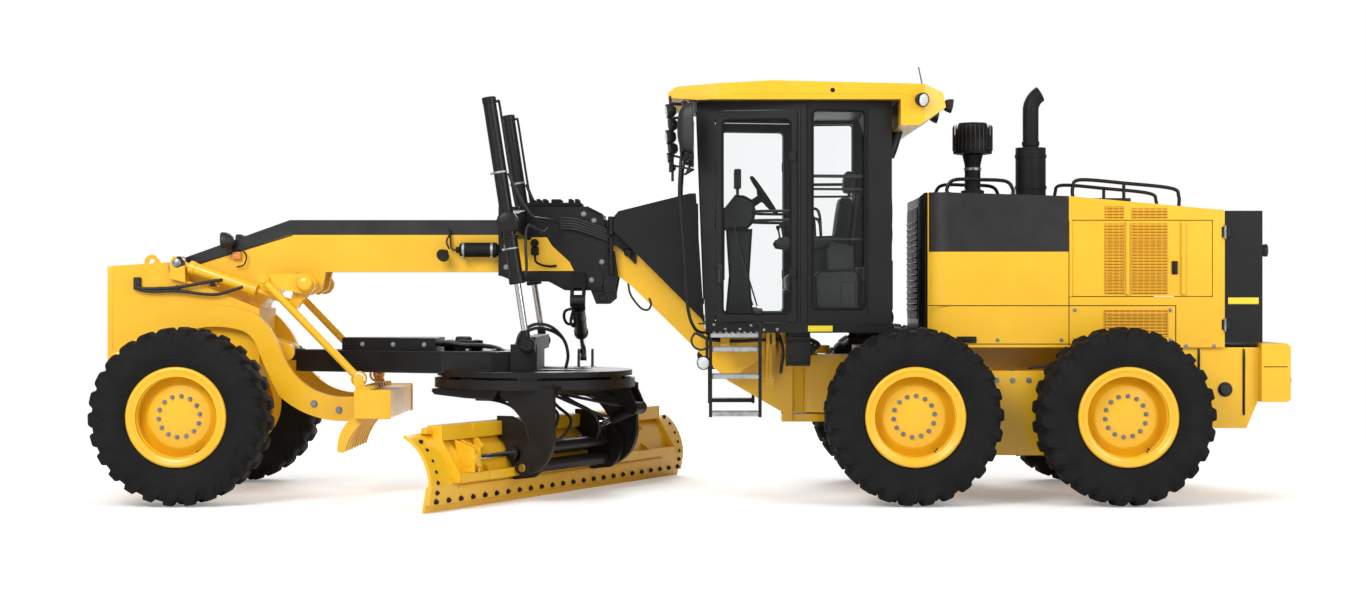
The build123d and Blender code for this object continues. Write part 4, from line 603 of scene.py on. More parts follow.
lamp("key_softbox", (6.0, 11.0, 9.0), (0, 0, 1.0), 6.0, 1350)
lamp("fill_softbox", (-9.0, 9.0, 6.0), (0, 0, 1.2), 6.0, 600)
lamp("back_softbox", (0.0, -11.0, 8.0), (0, 0, 1.2), 7.0, 1100)

# ================= wheels =================
AXLES = {"front": 3.75, "middle": -1.625, "rear": -3.172}
WHEEL_Y, AXLE_Z = 1.02, 0.655    # a tyre stands on the ground, so its outer radius is the axle's height
LUGS = 26

# half of a tyre's section, from the middle of the tread over the shoulder to the bead: half width and radius,
# on the groove's floor and on the lug's top
carcass = curve_through([(0.0, 0.63), (0.09, 0.628), (0.16, 0.62), (0.197, 0.598), (0.212, 0.56), (0.219, 0.495),
    (0.211, 0.44), (0.195, 0.402), (0.184, 0.372)], 6)
lug_top = curve_through([(0.0, AXLE_Z), (0.09, 0.6535), (0.166, 0.648), (0.204, 0.626), (0.2185, 0.575),
    (0.2197, 0.495), (0.211, 0.44), (0.195, 0.402), (0.184, 0.372)], 6)


def step_up(value, low, high):
    """Zero below low, one above high, and an S-shaped cubic between."""
    t = np.clip((value - low) / (high - low), 0, 1)
    return t * t * (3 - 2 * t)


def tyre_surface(centre_x, side):
    """The tread and sidewalls over angle and section: the carcass line, lifted towards the lug line where a curved
    bar passes. A bar sits at each whole number of pitches plus a lean that grows with the square of the way to the
    shoulder, and the two halves of the tread are half a pitch apart."""
    half = len(carcass)
    t = np.linspace(0, 1, half)
    sweep = np.linspace(0, 1, LUGS * 22, endpoint=False)
    floor = np.vstack([carcass[:0:-1] * (-1, 1), carcass, [(0.178, 0.33), (-0.178, 0.33)]])
    top = np.vstack([lug_top[:0:-1] * (-1, 1), lug_top, [(0.178, 0.33), (-0.178, 0.33)]])
    reach = np.concatenate([t[:0:-1], t, [1, 1]])
    shift = np.concatenate([np.full(half - 1, 0.5), np.zeros(half), [0, 0]])
    place = sweep[:, None] * LUGS + shift[None, :] + 1.5 * reach[None, :] ** 2
    from_bar = np.abs(place - np.round(place))
    width = 0.26 + 0.07 * reach[None, :]
    bar = step_up(width - from_bar, -0.02, 0.06) * (1 - step_up(reach[None, :], 0.5, 0.62))
    ends = 1 - 0.55 * (1 - step_up(reach[None, :], 0.0, 0.06))
    lift = bar * ends
    section = floor[None] + lift[..., None] * (top - floor)[None]
    ribs = 0.0022 * np.sin(reach * 90.0) * (step_up(reach, 0.66, 0.7) - step_up(reach, 0.84, 0.9))
    width_y = section[..., 0] + np.sign(section[..., 0]) * ribs[None, :]
    angle = 2 * pi * sweep[:, None]
    points = np.stack([centre_x + section[..., 1] * np.cos(angle), side * (WHEEL_Y + width_y),
        AXLE_Z + section[..., 1] * np.sin(angle)], -1)
    faces = grid_faces(*section.shape[:2], wrap_rows=True, wrap_columns=True)
    return points.reshape(-1, 3), faces[:, ::-1] if side > 0 else faces


def wheel_pieces(row, side_name):
    """One wheel's lugged tyre, the rounded lock ring on the rim, its fourteen stud nuts and the valve."""
    wheel, side, x = f"{row}_{side_name}", 1 if side_name == "left" else -1, AXLES[row]
    body = f"{wheel}_wheel"
    tyre = piece(f"{wheel}_lugged_tyre", tyre_surface(x, side), rubber, body, 28, slot="tyre_rubber")
    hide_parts(f"{wheel}_tyre")
    out = (0, side, 0)
    hub = np.array([x, side * WHEEL_Y, AXLE_Z])
    ring = [(0.292, 0.14), (0.303, 0.15), (0.303, 0.186), (0.309, 0.193), (0.322, 0.194), (0.33, 0.198),
        (0.338, 0.206), (0.35, 0.21), (0.361, 0.206), (0.367, 0.196), (0.366, 0.184), (0.35, 0.178), (0.3, 0.176)]
    dish = [(0.0, 0.0865), (0.222, 0.0865), (0.229, 0.084), (0.262, 0.062), (0.272, 0.052), (0.296, 0.044),
        (0.299, 0.04)]
    piece(f"{wheel}_lock_ring", [lathe(ring[::-1], hub, out, 96)], yellow, body, 50)
    piece(f"{wheel}_dish", [lathe(dish[::-1], hub, out, 72)], yellow, body, 30)
    angle = np.arange(14) * 2 * pi / 14 + 0.12
    side_dir, up = across(out)
    studs = hub + 0.0865 * np.array(out) + 0.151 * (np.cos(angle)[:, None] * side_dir + np.sin(angle)[:, None] * up)
    nuts = hexagon_bolts(studs, out, 0.0135, 0.017)
    shanks = copies(prism(ring_of(0.0075, 10), 0.015, 0.027, (0, 0, 0), *across(out), 0.002), studs)
    piece(f"{wheel}_stud_nuts", [nuts, shanks], zinc, body, 30)
    stem = [hub + np.array([0.292 * cos(a), side * b, 0.292 * sin(a)]) for a, b in ((4.1, 0.06), (4.1, 0.11),
        (4.16, 0.135), (4.22, 0.14))]
    piece(f"{wheel}_valve_stem", [pipe(stem, 0.006, 8, 4)], hose, body, 40)


for row in AXLES:
    for side_name in ("left", "right"):
        wheel_pieces(row, side_name)

# ================= blade, circle and their carrier =================
TURN = radians(28.5)
CIRCLE = np.array([1.216, 0.23, 0.0])
F_DIR = np.array([cos(TURN), -sin(TURN), 0.0])
U_DIR = np.array([sin(TURN), cos(TURN), 0.0])
BACK = -F_DIR


def blade_at(f, u, z):
    """A point of the blade's own frame: f ahead of the circle's centre, u towards the left end, z above ground."""
    return CIRCLE + np.outer(np.ravel(f), F_DIR) + np.outer(np.ravel(u), U_DIR) + np.outer(np.ravel(z), Z)


def along_blade(outline, u_low, u_high, chamfer=0.0):
    """An outline drawn in f and z, carried along the blade between two distances u."""
    points = np.asarray(outline, float)
    return prism(points, -u_high, -u_low, CIRCLE, F_DIR, Z, chamfer)


# edge bolts, 152.4 mm apart, with their nuts on the blade's back; and columns of bolts at both end bits
edge_u = -0.25 + (np.arange(24) - 11.5) * 0.1524
back_slope = (-0.159 + 0.135) / (0.186 - 0.056)
edge_bolts = blade_at(np.full(24, -0.135 + back_slope * (0.082 - 0.056) - 0.0005), edge_u, np.full(24, 0.082))
edge_normal = unit(np.array([*BACK[:2], back_slope]))
piece("edge_bolt_nuts", [hexagon_bolts(edge_bolts, edge_normal, 0.0155, 0.02)], iron, "blade")
column_z = np.array([0.145, 0.215, 0.29, 0.365, 0.44, 0.5])
column_f = np.array([-0.1535, -0.1545, -0.1375, -0.106, -0.061, -0.011])
column_normals = [unit(np.array([*BACK[:2], lean])) for lean in (-0.1, 0.05, 0.3, 0.5, 0.75, 0.9)]
ends = []
for u_end in (1.58 - 0.075, -2.08 + 0.075):
    for f, z, normal in zip(column_f, column_z, column_normals):
        ends.append(hexagon_bolts(blade_at(f, u_end, z), normal, 0.0135, 0.016))
piece("end_bit_bolts", ends, iron, "blade")

# folded stiffeners on the blade's back: gussets at each end, the lower rail's lip and a bead along the foot
gusset = [(-0.15, 0.23), (-0.225, 0.215), (-0.225, 0.262), (-0.066, 0.5), (-0.066, 0.603), (0.04, 0.59),
    (0.062, 0.545), (-0.02, 0.472), (-0.085, 0.398), (-0.13, 0.305)]
plates = [along_blade(gusset, u - 0.008, u + 0.008, 0.002) for u in (1.318, -1.818)]
plates += [along_blade([(-0.15, 0.262), (-0.215, 0.262), (-0.19, 0.298), (-0.136, 0.318), (-0.114, 0.365),
    (-0.118, 0.415), (-0.15, 0.44), (-0.1, 0.5), (-0.04, 0.5), (-0.092, 0.405), (-0.13, 0.305)], u - 0.006, u + 0.006,
    0.002) for u in (0.92, -0.98, -1.4)]
piece("blade_gussets", plates, yellow, "blade")
lower_bead = ring_of(0.01, 10) + (-0.162, 0.172)
strips = [along_blade(lower_bead, -1.7, 1.25, 0.003), along_blade([(-0.226, 0.2035), (-0.232, 0.2035),
    (-0.232, 0.2665), (-0.226, 0.2665)], -1.2, 0.95, 0.002), along_blade([(-0.0675, 0.499), (-0.0755, 0.506),
    (-0.0755, 0.599), (-0.0675, 0.6055)], -1.2, 0.95, 0.002)]
piece("blade_rail_lips", strips, yellow, "blade")
lifting_lug = [(0.07, 0.548), (0.02, 0.548), (0.012, 0.582), (0.06, 0.592)]
piece("blade_top_lug", [along_blade(lifting_lug, 1.3, 1.4, 0.003), along_blade(lifting_lug, -1.9, -1.8, 0.003)],
    yellow, "blade")

# the bracket that holds the side-shift rod's ball: two plates, a boss and its bolts
boss_at = blade_at(-0.185, 1.127, 0.365)[0]
piece("side_shift_bracket_boss", [lathe([(0.0, 0.054), (0.03, 0.054), (0.056, 0.052), (0.062, 0.04), (0.062, -0.032),
    (0.058, -0.042), (0.03, -0.044)], boss_at, U_DIR, 32)], yellow, "blade")
web = [(-0.12, 0.262), (-0.236, 0.268), (-0.24, 0.44), (-0.07, 0.498), (-0.088, 0.4)]
piece("side_shift_bracket_plate", [along_blade(web, 1.15, 1.175, 0.003), along_blade(web, 1.088, 1.104, 0.003)],
    yellow, "blade")

# tilt pins: a zinc-yellow head with a keeper plate outside each arm
for u, face in ((0.626, 1), (-0.626, -1)):
    head = blade_at(-0.3, u, 0.265)[0]
    piece(f"tilt_pin_head_{'left' if face > 0 else 'right'}", [lathe([(0.0, 0.024), (0.024, 0.024), (0.031, 0.018),
        (0.031, 0.0)], head, face * U_DIR, 28)], brass, "circle")
    keeper = soft_rectangle(0.135, 0.075, 0.03)
    piece(f"tilt_pin_keeper_{'left' if face > 0 else 'right'}", [prism(keeper, min(0, -0.01 * face),
        max(0, -0.01 * face), head, F_DIR, Z, 0.002)], black, "circle")


def blade_line(points):
    """A line given in the blade's frame, as points of the machine's."""
    f, u, z = np.array(points, float).T
    return blade_at(f, u, z)


# hoses of the tilt and side-shift cylinders, looped over the carrier from the swivel in the circle
carrier_hoses = [[(-0.1, 0.08, 0.8), (-0.2, 0.14, 0.72), (-0.36, 0.24, 0.64), (-0.4, 0.38, 0.52),
    (-0.33, 0.46, 0.44)], [(-0.1, 0.0, 0.8), (-0.22, 0.04, 0.7), (-0.4, 0.12, 0.6), (-0.43, 0.28, 0.48),
    (-0.36, 0.4, 0.43)], [(-0.12, -0.1, 0.8), (-0.26, -0.14, 0.72), (-0.42, -0.16, 0.64), (-0.42, -0.26, 0.53),
    (-0.35, -0.34, 0.44)], [(-0.14, -0.06, 0.79), (-0.34, -0.2, 0.74), (-0.48, -0.32, 0.7), (-0.52, -0.4, 0.69)],
    [(-0.14, -0.02, 0.78), (-0.32, -0.12, 0.69), (-0.44, -0.24, 0.62), (-0.45, -0.36, 0.6)]]
piece("carrier_hoses", [pipe(blade_line(line), 0.0125, 10, 8) for line in carrier_hoses], hose, "circle", 50)

# the deep legs that carry both arms forward under the ring, and the arms' rounded edge beads
leg = [(-0.1, 0.838), (0.5, 0.838), (0.508, 0.815), (0.48, 0.792), (0.2, 0.77), (0.06, 0.765), (-0.05, 0.76)]
piece("circle_arm_legs", [along_blade(leg, u - 0.055, u + 0.055, 0.006) for u in (0.605, -0.605)], black, "circle")
arm_front = curve_through([(0.33, 0.79), (-0.11, 0.738), (-0.262, 0.65), (-0.333, 0.52), (-0.338, 0.43),
    (-0.275, 0.32)], 8)
ribs = []
for u in (0.585, 0.625, -0.585, -0.625):
    ribs.append(pipe(blade_at(arm_front[:, 0] - 0.004, np.full(len(arm_front), u), arm_front[:, 1] + 0.004), 0.007, 8,
        straight=True))
piece("circle_arm_beads", ribs, black, "circle", 50)
swivel = CIRCLE + (0, 0, 0.8)
piece("circle_swivel", [lathe([(0.0, 0.165), (0.07, 0.165), (0.085, 0.15), (0.085, 0.06), (0.12, 0.05), (0.12, 0.01),
    (0.1, 0.0), (0.0, 0.0)], swivel, Z, 32)], iron, "circle")
piece("circle_swivel_arm", [along_blade([(-0.62, 0.838), (0.62, 0.838), (0.62, 0.852), (-0.62, 0.852)], -0.07, 0.07,
    0.003)], black, "circle")


# ================= cylinders =================
def collar(start, way, length, radius, chamfer, bore=0.036):
    """A ring round a barrel: a chamfered rectangle turned about the cylinder's line, its bore clear of the rod."""
    return lathe([(bore, 0.0), (radius - chamfer, 0.0), (radius, chamfer), (radius, length - chamfer),
        (radius - chamfer, length), (bore, length), (bore, 0.0)], start, way, 36)


def gland(start, end, at, radius, length):
    """A cylinder head: a ring a little proud of the barrel with a chamfer on both ends."""
    start, end = np.asarray(start, float), np.asarray(end, float)
    way = unit(end - start)
    return collar(start + way * at, way, length, radius, 0.005)


def clamp(start, end, at, radius, width=0.016):
    """A strap clamp round a barrel, with its screw lug."""
    start, end = np.asarray(start, float), np.asarray(end, float)
    way = unit(end - start)
    middle = start + way * at
    side = unit(np.cross(way, Y))
    lug = rod(middle + side * radius, middle + side * (radius + 0.022), 0.01, 12, 0.002)
    return join(collar(middle - way * width / 2, way, width, radius, 0.002), lug)


for side, side_name in ((1, "left"), (-1, "right")):
    pin, eye = np.array([1.374, side * 0.8, 2.089]), np.array([1.232, side * 0.8, 1.171])
    way = unit(eye - pin)
    back = unit(np.cross(Y, way)) * (1 if np.cross(Y, way)[0] < 0 else -1)
    barrel = f"{side_name}_lift_barrel"
    piece(f"{side_name}_lift_clamps", [clamp(pin, eye, -0.375, 0.0535), clamp(pin, eye, 0.2, 0.0525, 0.012)],
        step_steel, barrel)
    piece(f"{side_name}_lift_heads", [gland(pin, eye, -0.942, 0.0535, 0.05), gland(pin, eye, 0.405, 0.0615, 0.062),
        gland(pin, eye, 0.1, 0.055, 0.03)], black, barrel)
    tube = [pin + way * -0.9 + back * 0.046, pin + way * -0.9 + back * 0.066, pin + way * -0.86 + back * 0.072,
        pin + way * -0.4 + back * 0.072, pin + way * -0.12 + back * 0.078, pin + way * -0.09 + back * 0.1]
    piece(f"{side_name}_lift_tube", [pipe(tube, 0.0095, 10, 6)], black, barrel, 50)
    line = [pin + way * -0.36 + back * 0.06, pin + way * -0.26 + back * 0.085,
        pin + way * -0.12 + back * 0.13 + (0, -side * 0.03, 0), pin + way * -0.02 + back * 0.175 - (0, side * 0.1, 0),
        pin + back * 0.22 - (0, side * 0.22, 0), (1.1, side * 0.42, 2.12), (1.04, side * 0.3, 2.1)]
    piece(f"{side_name}_lift_hose", [pipe(line, 0.0125, 10, 8)], hose, barrel, 50)
    low = [pin + way * 0.42 + back * 0.058, pin + way * 0.36 + back * 0.085, pin + way * 0.18 + back * 0.105,
        pin + way * 0.05 + back * 0.14 - (0, side * 0.05, 0), (1.13, side * 0.6, 2.02), (1.1, side * 0.42, 2.06)]
    piece(f"{side_name}_lift_lower_hose", [pipe(low, 0.011, 10, 8)], hose, barrel, 50)
    piece(f"{side_name}_lift_rod_eye", [lathe([(0.033, 0.043), (0.052, 0.043), (0.061, 0.034), (0.061, -0.034),
        (0.052, -0.043), (0.033, -0.043), (0.033, 0.043)][::-1], eye, Y, 40), rod(eye - way * 0.112,
        eye - way * 0.045, 0.034, 28, 0.006)], black, f"{side_name}_lift_rod")
    piece(f"{side_name}_lift_eye_cap", [lathe([(0.0, 0.012), (0.04, 0.012), (0.047, 0.006), (0.047, 0.0)],
        (1.232, side * 0.85, 1.171), (0, side, 0), 32), hexagon_bolts([(1.232, side * 0.862, 1.171)], (0, side, 0),
        0.011, 0.01)], black, "drawbar")

# trunnion caps on the saddle's yokes
for side, name, barrel in ((1, "lift_trunnion_caps", "left_lift_barrel"),
                           (-1, "lift_trunnion_caps_right", "right_lift_barrel")):
    piece(name, [lathe([(0.0, 0.01), (0.055, 0.01), (0.07, 0.004), (0.0795, -0.004), (0.0795, -0.012)],
        (1.374, side * 0.872, 2.089), (0, side, 0), 40)], black, barrel)

# centre-shift cylinder: heads, a strap clamp and two hoses that arch forward and down to the drawbar
shift_from, shift_to = np.array([0.88, 0.36, 1.5]), np.array([0.88, -0.48, 1.06])
piece("centre_shift_heads", [gland(shift_from, shift_to, 0.102, 0.054, 0.05),
    gland(shift_from, shift_to, 0.515, 0.056, 0.048), clamp(shift_from, shift_to, 0.3, 0.0525)], black,
    "centre_shift_barrel")
piece("centre_shift_hoses", [pipe([(0.93, 0.215, 1.44), (0.985, 0.185, 1.42), (1.0, 0.11, 1.37), (0.985, 0.03, 1.325),
    (0.955, -0.015, 1.315), (0.925, -0.03, 1.32)], 0.0115, 10, 8), pipe([(0.92, 0.25, 1.43), (0.94, 0.2, 1.36),
    (0.945, 0.11, 1.32), (0.93, 0.03, 1.3), (0.905, -0.01, 1.325)], 0.0115, 10, 8)], hose, "centre_shift_barrel", 50)

# scarifier cylinder: heads, ports and its two hoses from the nose
scar_from, scar_to = np.array([3.955, 0.3, 1.79]), np.array([3.058, 0.3, 1.476])
piece("scarifier_cylinder_heads", [gland(scar_from, scar_to, 0.088, 0.053, 0.05),
    gland(scar_from, scar_to, 0.585, 0.055, 0.058), clamp(scar_from, scar_to, 0.35, 0.051)], yellow,
    "scarifier_barrel")
piece("scarifier_cylinder_hoses", [pipe([(4.268, 0.322, 1.665), (4.27, 0.345, 1.64), (4.262, 0.35, 1.602),
    (4.16, 0.352, 1.592), (3.96, 0.354, 1.602), (3.78, 0.356, 1.632), (3.68, 0.354, 1.65), (3.605, 0.342, 1.662)],
    0.0125, 10, 8), pipe([(4.262, 0.322, 1.61), (4.25, 0.345, 1.588), (4.15, 0.35, 1.572), (3.95, 0.352, 1.575),
    (3.76, 0.354, 1.552), (3.64, 0.354, 1.55), (3.53, 0.35, 1.58), (3.45, 0.34, 1.608)], 0.0125, 10, 8)], hose, FRONT,
    50)
piece("scarifier_hose_fittings", [block((4.235, 0.31, 1.585), (4.292, 0.352, 1.68), 0.006), rod((4.1, 0.352, 1.592),
    (4.06, 0.352, 1.594), 0.0165, 6, 0.002), rod((3.7, 0.3545, 1.625), (3.66, 0.3555, 1.622), 0.0165, 6, 0.002),
    block((3.94, 0.315, 1.566), (3.966, 0.366, 1.618), 0.004)], iron, FRONT)
piece("scarifier_cylinder_pin", [lathe([(0.0, 0.012), (0.022, 0.012), (0.034, 0.004), (0.034, -0.01)],
    (3.955, 0.3605, 1.79), Y, 28)], zinc, FRONT)
piece("scarifier_arm_bolts", [hexagon_bolts([(2.895, y, 0.712), (2.705, y, 0.665)], (0, np.sign(y), 0), 0.021, 0.022)
    for y in (0.387, -0.387)], zinc, "scarifier")
piece("scarifier_pivot_caps", [lathe([(0.0, 0.016), (0.045, 0.016), (0.06, 0.008), (0.06, -0.004)],
    (4.4, side * 0.387, 1.05), (0, side, 0), 32) for side in (1, -1)], yellow, "scarifier")
shank_wedges = []
for index in range(9):
    y = (index - 4) * 0.135
    shank_wedges.append(prism([(2.438, 0.822), (2.538, 0.822), (2.532, 0.85), (2.446, 0.85)], -0.024, 0.024,
        (0, y, 0), X, Z, 0.003))
piece("scarifier_shank_heads", shank_wedges, yellow, "scarifier")
piece("scarifier_block_caps", [block((2.276, side * 0.6, 0.607), (2.556, side * 0.612, 0.827), 0.005)
    for side in (1, -1)], yellow, "scarifier")
piece("scarifier_crank_caps", [lathe([(0.0, 0.022), (0.04, 0.022), (0.052, 0.014), (0.062, 0.0), (0.062, -0.01)],
    (2.957, side * 0.45, 1.629), (0, side, 0), 36) for side in (1, -1)] + [lathe([(0.0, 0.012), (0.024, 0.012),
    (0.03, 0.006), (0.03, -0.016)], (3.271, side * 0.4785, 1.658), (0, side, 0), 28) for side in (1, -1)], yellow,
    "scarifier_crank")

# ================= nose and beam =================
nose_plate = soft_rectangle(0.638, 0.839, 0.012)
piece("nose_push_plate", [prism(nose_plate, 4.452, 4.498, (0, 0, 1.3495), Y, Z, 0.006)], yellow, FRONT)
piece("nose_bolt_bosses", [lathe([(0.0, 0.014), (0.013, 0.014), (0.03, 0.01), (0.034, 0.0)], (4.497, y, z), X, 24)
    for y in (-0.22, 0.22) for z in (1.1, 1.6)], zinc, FRONT)
piece("nose_top_ledge", [block((4.055, -0.3, 1.764), (4.452, 0.3, 1.772), 0.003),
    block((4.09, 0.18, 1.77), (4.15, 0.29, 1.8), 0.005), block((4.09, -0.29, 1.77), (4.15, -0.18, 1.8), 0.005)],
    yellow, FRONT)
piece("slope_edge_strips", both(prism([(3.102, 2.014), (3.108, 2.004), (3.945, 1.746), (3.95, 1.758)], -0.003, 0.003,
    (0, -0.172, 0), X, Z)), black, FRONT)

# lamps on the slope: a headlamp each side on an angle bracket, with an amber marker under it
lamp_profile = [(0.0, -0.062), (0.03, -0.06), (0.052, -0.04), (0.064, -0.01), (0.068, 0.02), (0.066, 0.03),
    (0.06, 0.03)]
lens_profile = [(0.061, 0.024), (0.05, 0.032), (0.028, 0.037), (0.0, 0.038)]


def work_lamp(place, facing, size=1.0):
    """A round work lamp: a turned cup and its slightly domed lens."""
    cup = lathe(np.array(lamp_profile) * size, place, facing, 28)
    lens = lathe(np.array(lens_profile) * size, place, facing, 28)
    return cup, lens


cup, lens = work_lamp((3.6, 0.27, 1.962), (1, 0, -0.05))
piece("headlamp_cups", both(cup, block((3.56, 0.225, 1.88), (3.59, 0.262, 1.95), 0.004), rod((3.575, 0.165, 1.905),
    (3.575, 0.24, 1.905), 0.014, 14, 0.002)), plastic, FRONT)
piece("headlamp_lenses", both(lens), clear_lens, FRONT)
marker = prism(soft_rectangle(0.07, 0.06, 0.016), 0.0, 0.034, (3.53, 0.172, 1.85), X, (0, 0, 1), 0.005)
marker = (marker[0] + (0, 0.036, 0), marker[1])
piece("slope_markers", both(marker), amber_lens, FRONT)
piece("slope_marker_wires", both(pipe([(3.56, 0.2, 1.872), (3.5, 0.212, 1.9), (3.452, 0.215, 1.85),
    (3.47, 0.212, 1.78), (3.53, 0.19, 1.76)], 0.006, 8, 8)), hose, FRONT, 50)


def accumulator_axis(x):
    """The point of the accumulator's axis at x."""
    return (x, 0.236, 1.893)


# accumulator on the left side of the beam, with its cradle, straps and the pressure line; a horn beside it
piece("accumulator", [rod(accumulator_axis(1.5), accumulator_axis(1.8), 0.056, 40, 0.016), rod(accumulator_axis(1.8),
    accumulator_axis(1.828), 0.024, 20, 0.004)], hot_black, FRONT)
piece("accumulator_straps", [rod(accumulator_axis(x - 0.01), accumulator_axis(x + 0.01), 0.0595, 40, 0.002)
    for x in (1.548, 1.768)] + [block((x - 0.012, 0.17, 1.83), (x + 0.012, 0.3, 1.842), 0.003)
    for x in (1.548, 1.768)], step_steel, FRONT)
piece("beam_horn", [lathe([(0.0, 0.0), (0.022, 0.0), (0.026, 0.03), (0.05, 0.062), (0.052, 0.068), (0.0, 0.06)][::-1],
    (1.905, 0.235, 1.875), (0.25, 0.9, -0.4), 28), pipe([(1.88, 0.23, 1.9), (1.9, 0.232, 1.955), (1.88, 0.215, 2.01),
    (1.872, 0.178, 2.04)], 0.007, 8, 8)], plastic, FRONT)
piece("beam_pressure_line", [pipe([accumulator_axis(1.828), accumulator_axis(1.85), (1.868, 0.226, 1.925),
    (1.875, 0.205, 1.99), (1.9, 0.188, 2.06)], 0.007, 8, 8)], hose, FRONT, 50)

# ================= saddle =================
arch = [(1.362, 1.99), (1.362, 1.73), (0.915, 1.73), (0.95, 1.8), (1.085, 1.925), (1.125, 1.99)]
piece("saddle_wear_plates", both(prism(arch, -0.003, 0.003, (0, -0.2345, 0), X, Z, 0.001)), yellow, FRONT)
gusset_plate = [(0.6, 1.6), (0.6, 1.52), (0.65, 1.475), (0.745, 1.475), (0.79, 1.59), (0.8, 1.6)]
piece("saddle_lower_gussets", [prism(gusset_plate, -0.012, 0.012, (0, -y, 0), X, Z, 0.003)
    for y in (0.215, 0.08, -0.08, -0.215)], black, FRONT)
piece("saddle_cross_tube", [rod((0.69, -0.24, 1.52), (0.69, 0.24, 1.52), 0.032, 28, 0.004)], black, FRONT)
flange = [prism([(0.64, 1.9), (0.652, 1.895), (0.702, 2.16), (0.822, 2.22), (0.816, 2.232), (0.692, 2.17)], -0.018,
    0.018, (0, -0.232, 0), X, Z, 0.002), prism([(0.69, 1.595), (0.69, 1.58), (0.985, 1.58), (1.105, 1.645),
    (1.5, 1.693), (1.5, 1.708), (1.1, 1.66), (0.98, 1.597)], -0.018, 0.018, (0, -0.232, 0), X, Z, 0.002)]
piece("saddle_flanges", both(*flange), black, FRONT)
bolt_places = [(x, 0.2325, z) for x, z in ((0.76, 2.12), (0.84, 2.17), (0.78, 1.66), (0.9, 1.65), (1.44, 1.76),
    (1.44, 1.92), (0.7, 1.8), (0.72, 2.02))]
piece("saddle_bolts", both(hexagon_bolts(bolt_places, Y, 0.015, 0.014)), zinc, FRONT)
rear_brackets = [prism([(0.64, 1.9), (0.6, 1.88), (0.575, 1.7), (0.6, 1.56), (0.69, 1.56), (0.69, 1.7), (0.72, 1.76)],
    -0.016, 0.016, (0, -y, 0), X, Z, 0.003) for y in (0.215, -0.215)]
PIN_X, PIN_Y = 0.628, 0.262    # the upright pins of the saddle's rear brackets
rear_brackets += [block((0.59, -0.23, 2.062), (0.668, 0.23, 2.1), 0.005)]
rear_brackets += [rod((PIN_X, PIN_Y, low), (PIN_X, PIN_Y, high), radius, 20, 0.004)
                  for low, high, radius in ((2.01, 2.15, 0.024), (1.7, 1.99, 0.018))]
piece("saddle_rear_brackets", rear_brackets, black, FRONT)

# control valve over the saddle with its spool caps, and the bundle of hoses that runs back to the cab
valve = [block((0.86, -0.15, 2.232), (1.29, 0.15, 2.262), 0.006), block((1.02, -0.12, 2.26), (1.1, 0.12, 2.29), 0.006)]
valve += [rod((x, y, 2.258), (x, y, 2.292), 0.017, 12, 0.003) for x in (0.9, 0.95, 1.15, 1.2, 1.25)
    for y in (-0.1, 0.1)]
piece("saddle_valve_bank", valve, hot_black, FRONT, slot="engine_iron")
bundle = []
for k in range(5):
    z = 0.02 * k
    bundle.append(pipe([(1.02, 0.242, 2.14 - z), (0.9, 0.262, 2.13 - z), (0.76, 0.262, 2.085 - z),
        (0.6, 0.236, 2.02 - z), (0.52, 0.2, 1.96 - z), (0.44, 0.182, 1.87 - z)], 0.0105, 10, 8))
piece("saddle_hose_bundle", bundle, hose, FRONT, 50)
piece("saddle_side_motor", [rod((1.215, 0.236, 1.945), (1.215, 0.32, 1.945), 0.03, 24, 0.005),
    block((1.185, 0.236, 1.85), (1.245, 0.29, 1.915), 0.006), rod((1.262, 0.236, 1.985), (1.262, 0.3, 1.985), 0.018,
    16, 0.004), pipe([(1.215, 0.27, 1.85), (1.205, 0.285, 1.8), (1.16, 0.285, 1.775), (1.1, 0.262, 1.765),
    (1.05, 0.245, 1.77)], 0.009, 8, 8)], hot_black, FRONT, slot="engine_iron")
piece("beam_loop_hose", [pipe([(0.5, 0.15, 1.64), (0.485, 0.168, 1.56), (0.45, 0.178, 1.5), (0.395, 0.185, 1.44),
    (0.345, 0.182, 1.43), (0.322, 0.176, 1.47), (0.335, 0.168, 1.52)], 0.008, 8, 8)], hose, FRONT, 50)
piece("gooseneck_lamp", [rod((0.5, 0.172, 1.87), (0.5, 0.235, 1.87), 0.03, 24, 0.005), block((0.46, 0.17, 1.9),
    (0.56, 0.215, 1.925), 0.005)], black, FRONT)

# ================= drawbar =================
def swing(x):
    """How far left the drawbar's middle lies at x, as it is swung to one side about the ball."""
    return 0.23 * (3.17 - x) / (3.17 - 1.216)


cover = [(2.715, swing(2.715) - 0.106), (2.715, swing(2.715) + 0.106), (1.965, swing(1.965) + 0.295),
    (1.965, swing(1.965) - 0.295)]
piece("drawbar_cover_lid", [prism(cover, 1.2085, 1.2145, chamfer=0.002)], black, "drawbar")
piece("drawbar_cover_bolts", [hexagon_bolts([(x, swing(x) + s * (0.3 - (x - 1.965) * 0.252 + 0.002), 1.165)],
    (0, s, 0), 0.013, 0.012) for x in (2.05, 2.3, 2.55) for s in (1, -1)], zinc, "drawbar")
beads = []
for s in (1, -1):
    beads.append(pipe([(3.06, swing(3.06) + s * 0.07, 1.111), (1.9, swing(1.9) + s * 0.428, 1.111),
        (1.52, swing(1.52) + s * 0.428, 1.111)], 0.007, 8, straight=True))
    beads.append(pipe([(3.06, swing(3.06) + s * 0.07, 0.957), (1.9, swing(1.9) + s * 0.428, 0.957),
        (1.52, swing(1.52) + s * 0.428, 0.957)], 0.007, 8, straight=True))
piece("drawbar_beads", beads, black, "drawbar", 50)
drive = np.array([1.776, swing(1.776), 1.193])
